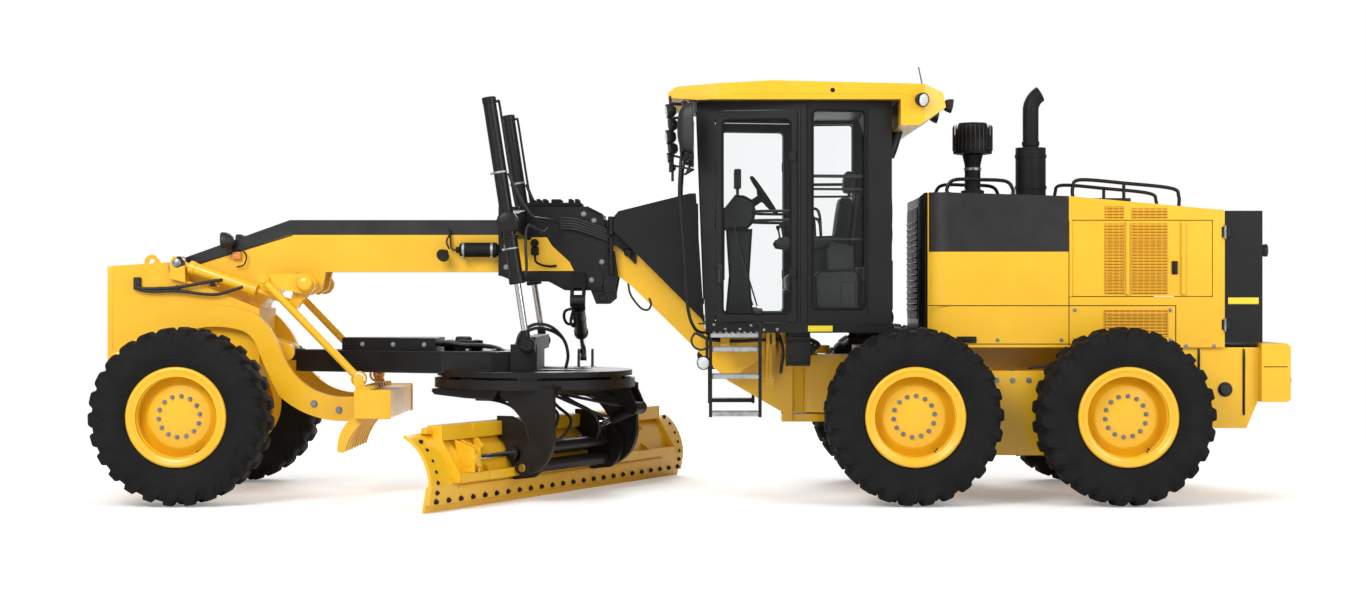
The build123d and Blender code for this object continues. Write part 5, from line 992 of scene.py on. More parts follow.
piece("circle_drive_motor", [lathe([(0.0, 0.03), (0.05, 0.03), (0.062, 0.022), (0.066, 0.0), (0.14, -0.004),
    (0.15, -0.014), (0.152, -0.03)], drive, Z, 40), hexagon_bolts([drive + (0.118 * cos(a), 0.118 * sin(a), -0.006)
    for a in np.arange(10) * 0.628], Z, 0.011, 0.01)], iron, "drawbar")
hose_lines = []
for k in range(6):
    y = swing(1.9) + 0.1 + 0.03 * k
    hose_lines.append(pipe([(1.985, y - 0.02, 1.165), (1.9, y, 1.16 + 0.012 * (k % 3)), (1.76, y + 0.02, 1.165),
        (1.62, y + 0.01, 1.15 + 0.01 * (k % 2)), (1.5, y - 0.03, 1.135), (1.38, 0.26 + 0.012 * k, 1.06),
        (1.3, 0.25 + 0.006 * k, 1.0)], 0.0125, 10, 8))
piece("drawbar_hoses", hose_lines, hose, "drawbar", 50)
arch_hoses = [pipe([(1.33, 0.5 + 0.06 * k, 1.17), (1.3, 0.48 + 0.06 * k, 1.235 + 0.02 * k),
    (1.2, 0.42 + 0.05 * k, 1.29 + 0.03 * k), (1.08, 0.35 + 0.04 * k, 1.27 + 0.03 * k), (0.99, 0.3, 1.2),
    (0.96, 0.26, 1.08), (0.98, 0.24, 0.975)], 0.0125, 10, 8) for k in range(2)]
piece("drawbar_arch_hoses", arch_hoses, hose, "drawbar", 50)
piece("drawbar_hose_clips", [block((1.7, swing(1.7) + 0.06, 1.116), (1.73, swing(1.7) + 0.29, 1.135), 0.004),
    block((1.5, swing(1.5) + 0.04, 1.116), (1.53, swing(1.5) + 0.26, 1.132), 0.004)], step_steel, "drawbar")

# ================= cab =================
DOOR_SLOPE = -0.15 / 0.859


def wall_y(x):
    """Half width of the cab's outside at x: widest at the pillar, narrower to the front and to the rear."""
    x = np.asarray(x, float)
    return np.where(x > -0.854, 0.7 + DOOR_SLOPE * (x + 0.854), 0.7 + (x + 0.854) * 0.08 / 0.653)


DOOR_DIR = unit(np.array([1.0, DOOR_SLOPE, 0.0]))
DOOR_OUT = np.array([-DOOR_DIR[1], DOOR_DIR[0], 0.0])
DOOR_EDGE = np.array([-0.7867, 0.6853, 1.341])


def on_door(s, z, out=0.0):
    """A point on the left door's outer face: s along it from the hinge edge, z above ground, out from the face."""
    s, z, out = np.broadcast_arrays(np.asarray(s, float), np.asarray(z, float), np.asarray(out, float))
    base = DOOR_EDGE * (1, 1, 0)
    return base + s[..., None] * DOOR_DIR + z[..., None] * np.array(Z) + out[..., None] * DOOR_OUT


def door_prism(outline, low, high, chamfer=0.0):
    """An outline in s and z, carried straight out from the left door's face."""
    return prism(outline, -high, -low, DOOR_EDGE * (1, 1, 0), DOOR_DIR, Z, chamfer)


DOOR_WIDE, DOOR_MIDDLE_Z = 0.617, 2.1375
opening = soft_rectangle(DOOR_WIDE - 0.1, 1.463, 0.04, 6) + (DOOR_WIDE / 2, DOOR_MIDDLE_Z)
gasket_ring = on_door(opening[:, 0], opening[:, 1], np.full(len(opening), 0.001))
for side, side_name in ((1, "left"), (-1, "right")):
    door = f"{side_name}_cab_door"
    flip = (lambda shape: shape) if side > 0 else mirrored
    pane = soft_rectangle(DOOR_WIDE - 0.096, 1.479, 0.044, 6) + (DOOR_WIDE / 2, DOOR_MIDDLE_Z)
    piece(f"{door}_pane", flip(door_prism(pane, -0.024, -0.019)), glass, door)
    closed = np.vstack([gasket_ring, gasket_ring[:2]])
    piece(f"{door}_gasket", flip(pipe(closed, 0.008, 8, straight=True)), rubber, door, 50)
    bar = pipe(on_door(np.array([0.575, 0.575, 0.575, 0.575]), np.array([1.66, 1.66, 2.14, 2.14]),
        np.array([-0.045, -0.09, -0.09, -0.045])), 0.011, 10, straight=True)
    handle = join(door_prism(soft_rectangle(0.04, 0.16, 0.016) + (0.585, 1.7), 0.0, 0.01, 0.003),
        door_prism(soft_rectangle(0.024, 0.12, 0.01) + (0.588, 1.69), 0.008, 0.03, 0.005))
    piece(f"{door}_handle", [flip(handle), flip(bar)], plastic, door)
    blocks = [join(door_prism(soft_rectangle(0.058, 0.08, 0.01) + (0.032, z), 0.0, 0.01, 0.003),
        hexagon_bolts([on_door(0.044, z + dz, 0.01) for dz in (-0.022, 0.022)], DOOR_OUT, 0.008, 0.008))
        for z in (1.712, 2.588)]
    piece(f"{door}_hinge_leaves", [flip(shape) for shape in blocks], black, door)
    wiper = [pipe(on_door(np.array([0.3, 0.36, 0.44]), np.array([1.46, 1.66, 1.9]), np.array([0.012, 0.024, 0.014])),
        0.006, 8, 4), pipe(on_door(np.array([0.4, 0.48]), np.array([1.7, 2.1]), np.array([0.006, 0.006])), 0.005, 6,
        straight=True), door_prism(soft_rectangle(0.07, 0.05, 0.015) + (0.295, 1.42), 0.0, 0.022, 0.006)]
    piece(f"{door}_wiper", [flip(shape) for shape in wiper], plastic, door, 50)


def on_wall(x, z, out=0.0):
    """A point on the cab's left outside wall at x and height z."""
    x, z = np.broadcast_arrays(np.asarray(x, float), np.asarray(z, float))
    return np.stack([x, wall_y(x) + out, z], -1)


# sill: round-headed screws, yellow reflective tape, and the folded edge under the door
sill = [(-0.164, 1.318), (-0.25, 1.284), (-0.36, 1.284), (-0.443, 1.312), (-0.54, 1.28), (-0.64, 1.284)]
heads = [lathe([(0.0, 0.008), (0.008, 0.007), (0.013, 0.003), (0.014, 0.0)], on_wall(x, z, 0.0), DOOR_OUT, 14)
    for x, z in sill]
piece("cab_sill_screws", both(*heads), zinc, FRONT)


def wall_strip(x_low, x_high, z_low, z_high, out, rows=8):
    """A flat strip that follows the wall between two x and two z, standing out from it by a little."""
    x = np.linspace(x_low, x_high, rows)
    ring = []
    for z, o in ((z_low, 0.0), (z_low, out), (z_high, out), (z_high, 0.0)):
        ring.append(on_wall(x, np.full(rows, z), o))
    points = np.stack(ring, 1)
    faces = grid_faces(rows, 4, wrap_columns=True)
    caps = [[0, 1, 2, 3], [4 * rows - 1, 4 * rows - 2, 4 * rows - 3, 4 * rows - 4]]
    return points.reshape(-1, 3), list(faces[:, ::-1]) + caps


piece("cab_reflective_tape", both(wall_strip(-1.055, -0.87, 1.27, 1.314, 0.002)), reflector, FRONT)
piece("cab_sill_fold", both(wall_strip(-0.845, -0.045, 1.322, 1.333, 0.006),
    wall_strip(-1.495, -0.862, 1.322, 1.333, 0.006), wall_strip(-1.495, -0.862, 2.95, 2.962, 0.006)), black, FRONT)
pillar_seams = [wall_strip(-0.868, -0.862, 1.345, 2.985, 0.003, 2), wall_strip(-1.326, -1.318, 1.4, 2.96, 0.003, 2)]
piece("cab_pillar_seams", both(*pillar_seams), rubber, FRONT)
corner = soft_rectangle(0.395, 1.49, 0.03, 5) + (-1.1025, 2.185)
rim_line = np.stack([corner[:, 0], wall_y(corner[:, 0]) + 0.001, corner[:, 1]], -1)
piece("cab_rear_side_gaskets", both(pipe(np.vstack([rim_line, rim_line[:2]]), 0.009, 8, straight=True)), rubber,
    FRONT, 50)
bars = [wall_strip(-1.3, -0.905, z, z + h, -0.055, 4) for z, h in ((2.43, 0.022), (2.335, 0.016), (1.96, 0.012))]
bars = [(points - (0, 0.03, 0), faces) for points, faces in bars]
piece("cab_rear_side_bars", both(*bars), plastic, FRONT)

# roof: side creases, drain line, screws, rear lamps and the aerial
crease = [(-0.3, 3.055), (-1.55, 3.062), (-1.66, 3.04), (-1.66, 3.03), (-1.54, 3.048), (-0.3, 3.047)]
piece("roof_side_creases", both(prism(crease, -0.004, 0.004, (0, -0.77, 0), X, Z, 0.001), prism([(0.0, 3.018),
    (-1.6, 3.018), (-1.6, 3.009), (0.0, 3.009)], -0.006, 0.006, (0, -0.768, 0), X, Z, 0.001)), yellow, FRONT)
piece("roof_plugs", both(lathe([(0.0, 0.008), (0.012, 0.007), (0.018, 0.0)], (-1.05, 0.77, 3.076), Y, 16)), rubber,
    FRONT)
piece("roof_top_ribs", [prism(soft_rectangle(1.0, 0.12, 0.05), -0.004, 0.01, (-1.175, y, 3.1364), (1, 0, 0.0237), Y,
    0.005) for y in (-0.48, -0.16, 0.16, 0.48)], yellow, FRONT)
rear_cup, rear_lens = work_lamp((-1.712, 0.815, 3.0), (-0.62, 0.78, -0.15), 0.8)
low_cup, low_lens = work_lamp((-1.612, 0.705, 2.905), (-0.62, 0.78, -0.15), 0.62)
piece("roof_corner_lamps", both(rear_cup, rod((-1.69, 0.76, 3.01), (-1.708, 0.8, 3.002), 0.018, 14, 0.003), low_cup,
    rod((-1.59, 0.66, 3.0), (-1.595, 0.675, 2.915), 0.012, 12, 0.002)), plastic, FRONT)
piece("roof_corner_lamp_lenses", both(rear_lens, low_lens), clear_lens, FRONT)
tail_cup, tail_lens = work_lamp((-1.955, 0.48, 2.985), (-1, 0, -0.2), 0.8)
piece("roof_rear_lamps", both(tail_cup, block((-1.905, 0.47, 2.965), (-1.955, 0.49, 3.005), 0.004)), plastic, FRONT)
piece("roof_rear_lamp_lenses", both(tail_lens), clear_lens, FRONT)
piece("roof_aerial", [pipe([(-1.74, 0.64, 3.06), (-1.738, 0.64, 3.1), (-1.705, 0.64, 3.262)], 0.0045, 8, 6),
    lathe([(0.0, 0.045), (0.012, 0.045), (0.016, 0.03), (0.022, 0.0)], (-1.742, 0.64, 3.09), Z, 18)], plastic, FRONT)
piece("roof_headliner", [block((-1.555, -0.69, 3.0), (0.02, 0.69, 3.01), 0.003)], plastic, FRONT)

# lamps, mirrors and rails at the cab's front corners
stalk = [rod((0.165, 0.64, 2.47), (0.165, 0.64, 3.045), 0.011, 12, 0.002), rod((0.165, 0.64, 2.985),
    (0.02, 0.56, 2.985), 0.012, 12, 0.002), rod((0.165, 0.64, 2.6), (-0.01, 0.57, 2.56), 0.009, 12, 0.002)]
lenses = []
for z, size in ((2.93, 0.82), (2.735, 0.82), (2.58, 0.55)):
    cup, lens = work_lamp((0.172, 0.64, z), (1, 0.12, -0.12), size)
    stalk.append(cup)
    lenses.append(lens)
piece("cab_lamp_stalks", both(*stalk), plastic, FRONT)
piece("cab_lamp_lenses", both(*lenses), clear_lens, FRONT)


def mirror_shell(u, v):
    """The mirror's housing: an egg-shaped shell, u from its rim to its nose and v round it; depth falls as the
    square root of what the radius leaves, and the outline is a soft rectangle (a fourth-power ellipse)."""
    angle = 2 * pi * v
    c, s = np.cos(angle), np.sin(angle)
    spread = (np.abs(c) ** 4 + np.abs(s) ** 4) ** -0.25 * (1 - u) ** 0.8
    return np.stack([0.03 + 0.112 * np.sqrt(np.clip(1 - (1 - u) ** 2.2, 0, 1)), 0.8 + 0.092 * c * spread, 2.788
        + 0.198 * s * spread], -1)


shell_points, shell_faces = panel(mirror_shell, 9, 33)
plate = prism(soft_rectangle(0.176, 0.388, 0.04, 5), 0.02, 0.032, (0, 0.8, 2.788), Y, Z, 0.003)
piece("mirror_shells", both((shell_points - (0.03, 0, 0), shell_faces), (plate[0] - (0.028, 0, 0), plate[1])),
    plastic, FRONT, 50)
face = prism(soft_rectangle(0.16, 0.37, 0.034, 5), -0.01, -0.0085, (0, 0.8, 2.788), Y, Z)
piece("mirror_faces", both(face), mirror_glass, FRONT)
arms = [pipe([(0.0, 0.56, 2.96), (0.07, 0.64, 2.985), (0.06, 0.76, 2.99), (0.03, 0.8, 2.96), (0.03, 0.8, 2.9)],
    0.0105, 10, 8), pipe([(0.0, 0.56, 2.56), (0.06, 0.66, 2.53), (0.055, 0.76, 2.545), (0.03, 0.8, 2.59),
    (0.03, 0.8, 2.64)], 0.0105, 10, 8)]
rail = pipe([(0.02, 0.6, 2.64), (0.07, 0.72, 2.62), (0.088, 0.76, 2.5), (0.094, 0.78, 2.24), (0.064, 0.8, 1.853),
    (0.032, 0.81, 1.45), (-0.016, 0.8, 1.3), (-0.07, 0.72, 1.262), (-0.09, 0.6, 1.262)], 0.0125, 12, 8)
piece("cab_front_rails", both(*arms, rail), black, FRONT, 50)
piece("windscreen_wipers", both(pipe([(-0.07, 0.18, 1.5), (-0.045, 0.24, 1.68), (-0.04, 0.29, 1.93)], 0.008, 8, 6),
    pipe([(-0.05, 0.25, 1.6), (-0.038, 0.25, 2.25)], 0.006, 6, straight=True), block((-0.09, 0.15, 1.47),
    (-0.045, 0.215, 1.52), 0.006)), plastic, FRONT, 50)
screen = soft_rectangle(0.95, 1.41, 0.03, 5)
lean = (0.103 - 0.035) / (3.008 - 1.26)
screen_line = np.stack([-0.103 + lean * (screen[:, 1] + 2.225 - 1.26) + 0.001, screen[:, 0], screen[:, 1] + 2.225], -1)
rear_screen = soft_rectangle(0.98, 1.0, 0.03, 5)
rear_line = np.stack([np.full(len(rear_screen), -1.508), rear_screen[:, 0], rear_screen[:, 1] + 2.4], -1)
piece("cab_end_gaskets", [pipe(np.vstack([line, line[:2]]), 0.009, 8, straight=True)
    for line in (screen_line, rear_line)], rubber, FRONT, 50)
piece("cab_rear_ducts", [pipe([(-1.64, 0.1, 2.93), (-1.6, 0.1, 2.83), (-1.56, 0.11, 2.7), (-1.53, 0.11, 2.62)], 0.042,
    18, 8), pipe([(-1.52, 0.12, 2.6), (-1.545, 0.12, 2.2), (-1.53, 0.12, 1.88), (-1.53, 0.1, 1.82)], 0.012, 10, 8),
    pipe([(-1.52, 0.06, 2.3), (-1.55, 0.06, 2.05), (-1.54, 0.06, 1.88), (-1.535, 0.06, 1.82)], 0.012, 10, 8),
    pipe([(-1.535, 0.08, 1.43), (-1.55, 0.08, 1.36), (-1.52, 0.08, 1.27)], 0.02, 12, 8), block((-1.55, -0.24, 1.42),
    (-1.505, 0.24, 1.82), 0.012)], plastic, FRONT, 50)

# ================= inside the cab =================
column = [(-0.25, 1.305), (-0.455, 1.305), (-0.47, 1.42), (-0.445, 1.7), (-0.468, 2.06), (-0.262, 2.06), (-0.285, 1.7)]
dash = [(-0.15, 2.085), (-0.2, 2.055), (-0.42, 2.05), (-0.478, 2.11), (-0.492, 2.2), (-0.47, 2.28), (-0.4, 2.318),
    (-0.33, 2.322), (-0.29, 2.27), (-0.235, 2.205), (-0.15, 2.2)]
console = piece("console_column", [prism(column, -0.095, 0.095, (0, 0, 0), X, Z, 0.018),
    prism(dash, -0.19, 0.19, (0, 0, 0), X, Z, 0.022), block((-0.44, -0.24, 1.34), (-0.26, 0.24, 1.362), 0.004)],
    plastic, FRONT, 30, 0.006)
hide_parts("steering_console")
wheel_up = unit(np.array([-0.826, 0.0, 0.563]))
wheel_at = np.array([-0.56, 0.0, 2.322])
side_dir, up_dir = across(wheel_up)
turn_angle = np.linspace(0, 2 * pi, 49)
rim_ring = wheel_at + 0.172 * (np.cos(turn_angle)[:, None] * side_dir + np.sin(turn_angle)[:, None] * up_dir)
spokes = [pipe([wheel_at - wheel_up * 0.03, wheel_at - wheel_up * 0.022
    + 0.09 * (cos(a) * side_dir + sin(a) * up_dir), wheel_at + 0.17 * (cos(a) * side_dir + sin(a) * up_dir)], 0.01,
    10, 6) for a in (0.5, 2.64, 4.71)]
piece("steering_wheel", [pipe(rim_ring, 0.0145, 12, straight=True), lathe([(0.0, 0.012), (0.04, 0.008),
    (0.052, -0.01), (0.046, -0.04), (0.0, -0.042)], wheel_at, wheel_up, 28), rod(wheel_at - wheel_up * 0.2,
    wheel_at - wheel_up * 0.036, 0.03, 20, 0.004)] + spokes, rubber, FRONT, 50)
piece("console_monitor", [prism(soft_rectangle(0.055, 0.15, 0.012), -0.085, 0.085, (-0.35, 0.13, 2.445), X, Z, 0.008),
    rod((-0.35, 0.13, 2.3), (-0.35, 0.13, 2.385), 0.012, 12, 0.002), block((-0.3, -0.15, 2.2), (-0.235, 0.15, 2.222),
    0.004)] + [lathe([(0.0, 0.01), (0.03, 0.008), (0.034, 0.0)], (-0.47, y, 2.235), (-0.93, 0, 0.36), 24)
    for y in (-0.12, 0.0, 0.12)], plastic, FRONT)
piece("pedals", [prism(soft_rectangle(0.085, 0.15, 0.012), -0.006, 0.006, (-0.235, y, 1.42), (0.5, 0, 0.86), Y, 0.003)
    for y in (-0.2, 0.14, 0.26)] + [rod((-0.215, y, 1.4), (-0.15, y, 1.345), 0.01, 12, 0.002)
    for y in (-0.2, 0.14, 0.26)], rubber, FRONT)
pods, levers = [], []
for side in (1, -1):
    arm = [(-0.66, 1.915), (-0.64, 1.95), (-0.66, 1.985), (-1.1, 2.0), (-1.14, 1.97), (-1.12, 1.915), (-0.9, 1.88)]
    pods.append(prism(arm, -0.045, 0.045, (0, side * 0.345, 0), X, Z, 0.012))
    pods.append(prism([(-0.93, 1.56), (-1.06, 1.56), (-1.06, 1.9), (-0.93, 1.9)], -0.025, 0.025, (0, side * 0.345, 0),
        X, Z, 0.008))
    for k in range(3):
        x = -0.7 - 0.055 * k
        levers.append(rod((x, side * (0.33 + 0.01 * k), 1.985), (x + 0.015, side * (0.325 + 0.01 * k), 2.065), 0.007,
            10, 0.001))
        levers.append(lathe([(0.0, 0.02), (0.012, 0.018), (0.017, 0.006), (0.013, -0.01), (0.007, -0.02)],
            (x + 0.018, side * (0.325 + 0.01 * k), 2.08), Z, 14))
piece("armrest_pods", pods, plastic, FRONT, 30, 0.004)
piece("control_levers", levers, rubber, FRONT, 50)
piece("grab_bars", [pipe([(-0.44, side * 0.15, z), (-0.56, side * 0.3, z), (-0.84, side * 0.38, z),
    (-0.96, side * 0.4, z), (-0.985, side * 0.4, 1.985)], 0.011, 10, 6) for side in (1, -1) for z in (2.12, 2.19)],
    plastic, FRONT, 50)
piece("cab_side_lockers", both(prism([(-0.935, 1.32), (-0.925, 1.69), (-0.96, 1.725), (-1.23, 1.735), (-1.265, 1.7),
    (-1.265, 1.32)], -0.08, 0.08, (0, 0.5, 0), X, Z, 0.014), block((-1.235, 0.578, 1.4), (-1.12, 0.588, 1.64), 0.004),
    prism([(-1.02, 1.72), (-1.01, 1.9), (-1.06, 1.96), (-1.24, 1.93), (-1.24, 1.72)], -0.045, 0.045, (0, 0.48, 0), X,
    Z, 0.014)), plastic, FRONT, 30, 0.004)
piece("cab_floor_mat", [prism(soft_rectangle(1.24, 0.98, 0.06), 1.305, 1.313, (-0.82, 0, 0), X, Y, 0.003)], rubber,
    FRONT)
piece("cab_rear_shelf", [prism([(-1.3, 1.76), (-1.44, 1.76), (-1.44, 1.31), (-1.32, 1.31), (-1.29, 1.5)], -0.52, 0.52,
    (0, 0, 0), X, Z, 0.02), prism([(-1.33, 2.98), (-1.44, 2.98), (-1.44, 2.79), (-1.4, 2.76)], -0.5, 0.5, (0, 0, 0),
    X, Z, 0.015)], cream, FRONT, 30, 0.006)


# ================= seat =================
def cushion(name, centre, length_dir, width_dir, size, crown, cap):
    """A padded cushion: a box whose faces crown as the product of two sine arcs and whose sides pull in a little
    between the corners; then it is remeshed, blown up as cloth and its points kept within a cap of where they were."""
    length, width, thick = size
    n = 28
    u, v = np.meshgrid(np.linspace(-1, 1, n), np.linspace(-1, 1, n), indexing="ij")
    pull = 1 - 0.018 * (1 - v ** 2) * np.abs(u) ** 6
    pull_v = 1 - 0.018 * (1 - u ** 2) * np.abs(v) ** 6
    arch = np.cos(u * pi / 2) ** 0.5 * np.cos(v * pi / 2) ** 0.5
    round_u = u * (1 - 0.06 * np.abs(v) ** 8)
    round_v = v * (1 - 0.06 * np.abs(u) ** 8)
    top = np.stack([round_u * pull * length / 2, round_v * pull_v * width / 2, thick / 2 + crown * arch], -1)
    bottom = top * (1, 1, 0) + np.array([0, 0, -thick / 2])
    points = np.vstack([top.reshape(-1, 3), bottom.reshape(-1, 3)])
    quads = grid_faces(n, n)
    edge = np.concatenate([np.arange(n - 1) * n, (n - 1) * n + np.arange(n - 1), (np.arange(n - 1, 0, -1)) * n
        + n - 1, np.arange(n - 1, 0, -1)])
    after = np.roll(edge, -1)
    walls = np.stack([edge, after, after + n * n, edge + n * n], -1)
    faces = list(quads) + list(quads[:, ::-1] + n * n) + list(walls)
    shape = (put(points, centre, length_dir, width_dir), faces)
    pad = piece(name, shape, cloth, FRONT, 60)
    bpy.context.view_layer.objects.active = pad
    pad.select_set(True)
    remesh = pad.modifiers.new("remesh", "REMESH")
    remesh.mode, remesh.voxel_size = "VOXEL", 0.006
    bpy.ops.object.modifier_apply(modifier="remesh")
    before = np.empty(3 * len(pad.data.vertices))
    pad.data.vertices.foreach_get("co", before)
    soft = pad.modifiers.new("padding", "CLOTH")
    soft.settings.use_pressure = True
    soft.settings.uniform_pressure_force = 4.0
    soft.settings.effector_weights.gravity = 0.0
    soft.point_cache.frame_start, soft.point_cache.frame_end = 1, 20
    for frame_number in range(1, 21):
        bpy.context.scene.frame_set(frame_number)
    bpy.ops.object.modifier_apply(modifier="padding")
    bpy.context.scene.frame_set(1)
    after_blow = np.empty_like(before)
    pad.data.vertices.foreach_get("co", after_blow)
    move = (after_blow - before).reshape(-1, 3)
    far = np.linalg.norm(move, axis=1, keepdims=True)
    move *= np.minimum(1, cap / np.maximum(far, 1e-9))
    pad.data.vertices.foreach_set("co", (before.reshape(-1, 3) + move).ravel())
    pad.data.update()
    pad.data.polygons.foreach_set("use_smooth", np.ones(len(pad.data.polygons), bool))
    finer = pad.modifiers.new("finer", "SUBSURF")
    finer.levels = finer.render_levels = 1
    pad.select_set(False)
    return pad


base_pad = cushion("seat_cushion", (-0.955, 0, 1.638), X, Y, (0.49, 0.49, 0.095), 0.026, 0.01)
back_dir = unit(np.array([-0.07, 0, 0.69]))
cushion("seat_back_cushion", (-1.168, 0, 2.01), -back_dir, Y, (0.61, 0.44, 0.075), 0.024, 0.01)
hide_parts("seat")
cushion("seat_head_cushion", (-1.228, 0, 2.425), -back_dir, Y, (0.17, 0.26, 0.06), 0.016, 0.008)
piece("seat_shells", [prism([(-1.235, 1.69), (-1.195, 1.69), (-1.262, 2.34), (-1.3, 2.34)], -0.215, 0.215, (0, 0, 0),
    X, Z, 0.012), prism(soft_rectangle(0.5, 0.5, 0.06), 1.555, 1.59, (-0.96, 0, 0), X, Y, 0.008),
    prism(soft_rectangle(0.38, 0.4, 0.05), 1.313, 1.345, (-0.98, 0, 0), X, Y, 0.006), rod((-1.225, 0.075, 2.31),
    (-1.238, 0.075, 2.4), 0.008, 10), rod((-1.225, -0.075, 2.31), (-1.238, -0.075, 2.4), 0.008, 10),
    block((-1.23, -0.15, 1.59), (-1.19, 0.15, 1.72), 0.006)], plastic, FRONT, 30, 0.004)
bellows = [prism(soft_rectangle(0.35 - 0.045 * (0.5 + 0.5 * cos(k * pi)), 0.37 - 0.045 * (0.5 + 0.5 * cos(k * pi)),
    0.04), 1.345 + 0.0175 * k, 1.345 + 0.0175 * (k + 1), (-0.98, 0, 0), X, Y, 0.007) for k in range(12)]
piece("seat_bellows", bellows, rubber, FRONT, 60)

# ================= steps, ladder and what hangs under the cab =================
treads = []
for z in (0.683, 0.958, 1.158):
    for k in range(5):
        treads.append(block((-0.486, 0.945 + 0.018 * k, z), (-0.15, 0.955 + 0.018 * k, z + 0.008), 0.0015))
piece("ladder_tread_bars", both(*treads), step_steel, FRONT)
fronts = [block((-0.489, 1.036, z - 0.002), (-0.147, 1.043, z + 0.03), 0.002) for z in (0.655, 0.93, 1.13)]
fronts.append(block((-0.5, 1.038, 1.232), (-0.136, 1.046, 1.262), 0.002))
piece("ladder_tread_noses", both(*fronts), step_steel, FRONT)
deck = [block((-0.49 + 0.045 * k, 0.56, 1.26), (-0.468 + 0.045 * k, 1.03, 1.268), 0.0015) for k in range(8)]
piece("ladder_deck_bars", both(*deck), step_steel, FRONT)
piece("ladder_grab_rails", both(pipe([(-0.5, 1.035, 1.0), (-0.5, 1.052, 1.03), (-0.5, 1.052, 1.3),
    (-0.5, 1.04, 1.34)], 0.011, 10, 6), pipe([(-0.136, 1.035, 0.9), (-0.136, 1.052, 0.93), (-0.136, 1.052, 1.15),
    (-0.136, 1.035, 1.18)], 0.011, 10, 6)), black, FRONT, 50)
cup, lens = work_lamp((-0.09, 0.965, 1.045), (0.35, 0.93, -0.1), 0.78)
piece("step_lamps", both(cup, rod((-0.11, 0.92, 1.08), (-0.11, 0.92, 1.235), 0.011, 12, 0.002),
    rod((-0.11, 0.92, 1.08), (-0.095, 0.955, 1.045), 0.011, 12, 0.002)), plastic, FRONT)
piece("step_lamp_lenses", both(lens), clear_lens, FRONT)
piece("step_lamp_wires", both(pipe([(-0.02, 0.86, 1.262), (0.005, 0.9, 1.215), (-0.015, 0.93, 1.16),
    (-0.075, 0.945, 1.14), (-0.14, 0.94, 1.175)], 0.008, 8, 8)), hose, FRONT, 50)
piece("side_box_lids", both(block((-0.894, 0.451, 1.205), (-0.706, 0.639, 1.235), 0.004), block((-0.892, 0.634, 1.03),
    (-0.708, 0.64, 1.195), 0.004), hexagon_bolts([(-0.87, 0.64, 1.05), (-0.73, 0.64, 1.05), (-0.87, 0.64, 1.18),
    (-0.73, 0.64, 1.18)], Y, 0.009, 0.008)), black, FRONT)
piece("belly_plates", both(prism([(-0.12, 1.25), (-0.56, 1.25), (-0.56, 1.08), (-0.3, 0.9), (-0.16, 0.985)], -0.008,
    0.008, (0, -0.3, 0), X, Z, 0.002), block((-0.615, 0.17, 0.9), (-0.585, 0.43, 1.25), 0.004),
    hexagon_bolts([(-0.2, 0.308, 1.1), (-0.34, 0.308, 1.0), (-0.5, 0.308, 1.15)], Y, 0.013, 0.012)), yellow, FRONT)
under = [pipe([(-0.7, 0.4, 1.24), (-0.85, 0.43, 1.19), (-0.93, 0.4, 1.13), (-0.88, 0.3, 1.08), (-0.78, 0.2, 1.08),
    (-0.74, 0.12, 1.06)], 0.016, 10, 8), pipe([(-0.7, 0.34, 1.24), (-0.88, 0.36, 1.21), (-0.97, 0.34, 1.16),
    (-0.9, 0.26, 1.12), (-0.8, 0.2, 1.14), (-0.74, 0.12, 1.12)], 0.016, 10, 8), pipe([(-0.03, 0.26, 1.25),
    (-0.15, 0.33, 1.2), (-0.35, 0.35, 1.19), (-0.56, 0.34, 1.2), (-0.7, 0.4, 1.21)], 0.013, 10, 8),
    pipe([(-0.66, 0.48, 1.24), (-0.69, 0.5, 1.12), (-0.68, 0.44, 1.0), (-0.68, 0.31, 0.95)], 0.013, 10, 8)]
piece("cab_under_hoses", both(*under), hose, FRONT, 50)
fender = np.vstack([ring_of(0.143, 36)[:7] + (-0.935, 0), [(-0.69, 0.145), (-0.69, -0.145)], ring_of(0.143, 36)[-6:]
    + (-0.935, 0)])
piece("articulation_guard", [prism(fender, 0.634, 1.076, (0, 0, 0), X, Y, 0.003)], yellow, FRONT)
piece("cab_mounts", both(*[lathe([(0.0, 0.06), (0.06, 0.06), (0.06, 0.045), (0.045, 0.035), (0.045, 0.025),
    (0.062, 0.015), (0.062, 0.0), (0.0, 0.0)], (x, 0.4, 1.2), Z, 24) for x in (-0.16, -1.3)]), rubber, FRONT)

# ================= engine hood =================
HOOD_FRONT, HOOD_HALF = -1.725, 0.65


def hood_top(x):
    """Height of the hood's crest: level at the front, then falling in two slopes to the rear."""
    return np.interp(x, [-4.01, -2.83, -1.85, -1.725], [2.184, 2.29, 2.32, 2.3])


def side_panel(x_low, x_high, z_low, z_high, low=0.0, out=0.004, chamfer=0.0015):
    """A flat panel on the hood's side between two x and two z."""
    return block((x_low, HOOD_HALF + low, z_low), (x_high, HOOD_HALF + out, z_high), chamfer)


# seams, and bolts at the box panel's corners and along the hood's lower edge
seam = []
for x_low, x_high, z_low, z_high in ((-2.84, -2.834, 1.16, 2.09), (-2.834, -1.76, 1.461, 1.467),
                                     (-3.641, -2.84, 1.461, 1.467), (-3.644, -3.638, 1.175, 1.467),
                                     (-3.641, -1.76, 1.172, 1.178), (-1.76, -1.754, 1.16, 2.06)):
    seam.append(side_panel(x_low, x_high, z_low, z_high, -0.003, 0.0015, 0.0))
piece("hood_seams", both(*seam), rubber, REAR)
box_bolts = hexagon_bolts([(x, HOOD_HALF, z) for x in (-2.88, -3.6) for z in (1.205, 1.43)] + [(x, HOOD_HALF, 1.205)
    for x in (-1.8, -2.3, -2.78)] + [(x, HOOD_HALF, 1.16) for x in (-3.72, -3.93)], Y, 0.011, 0.01)
piece("hood_bolts", both(box_bolts), zinc, REAR)


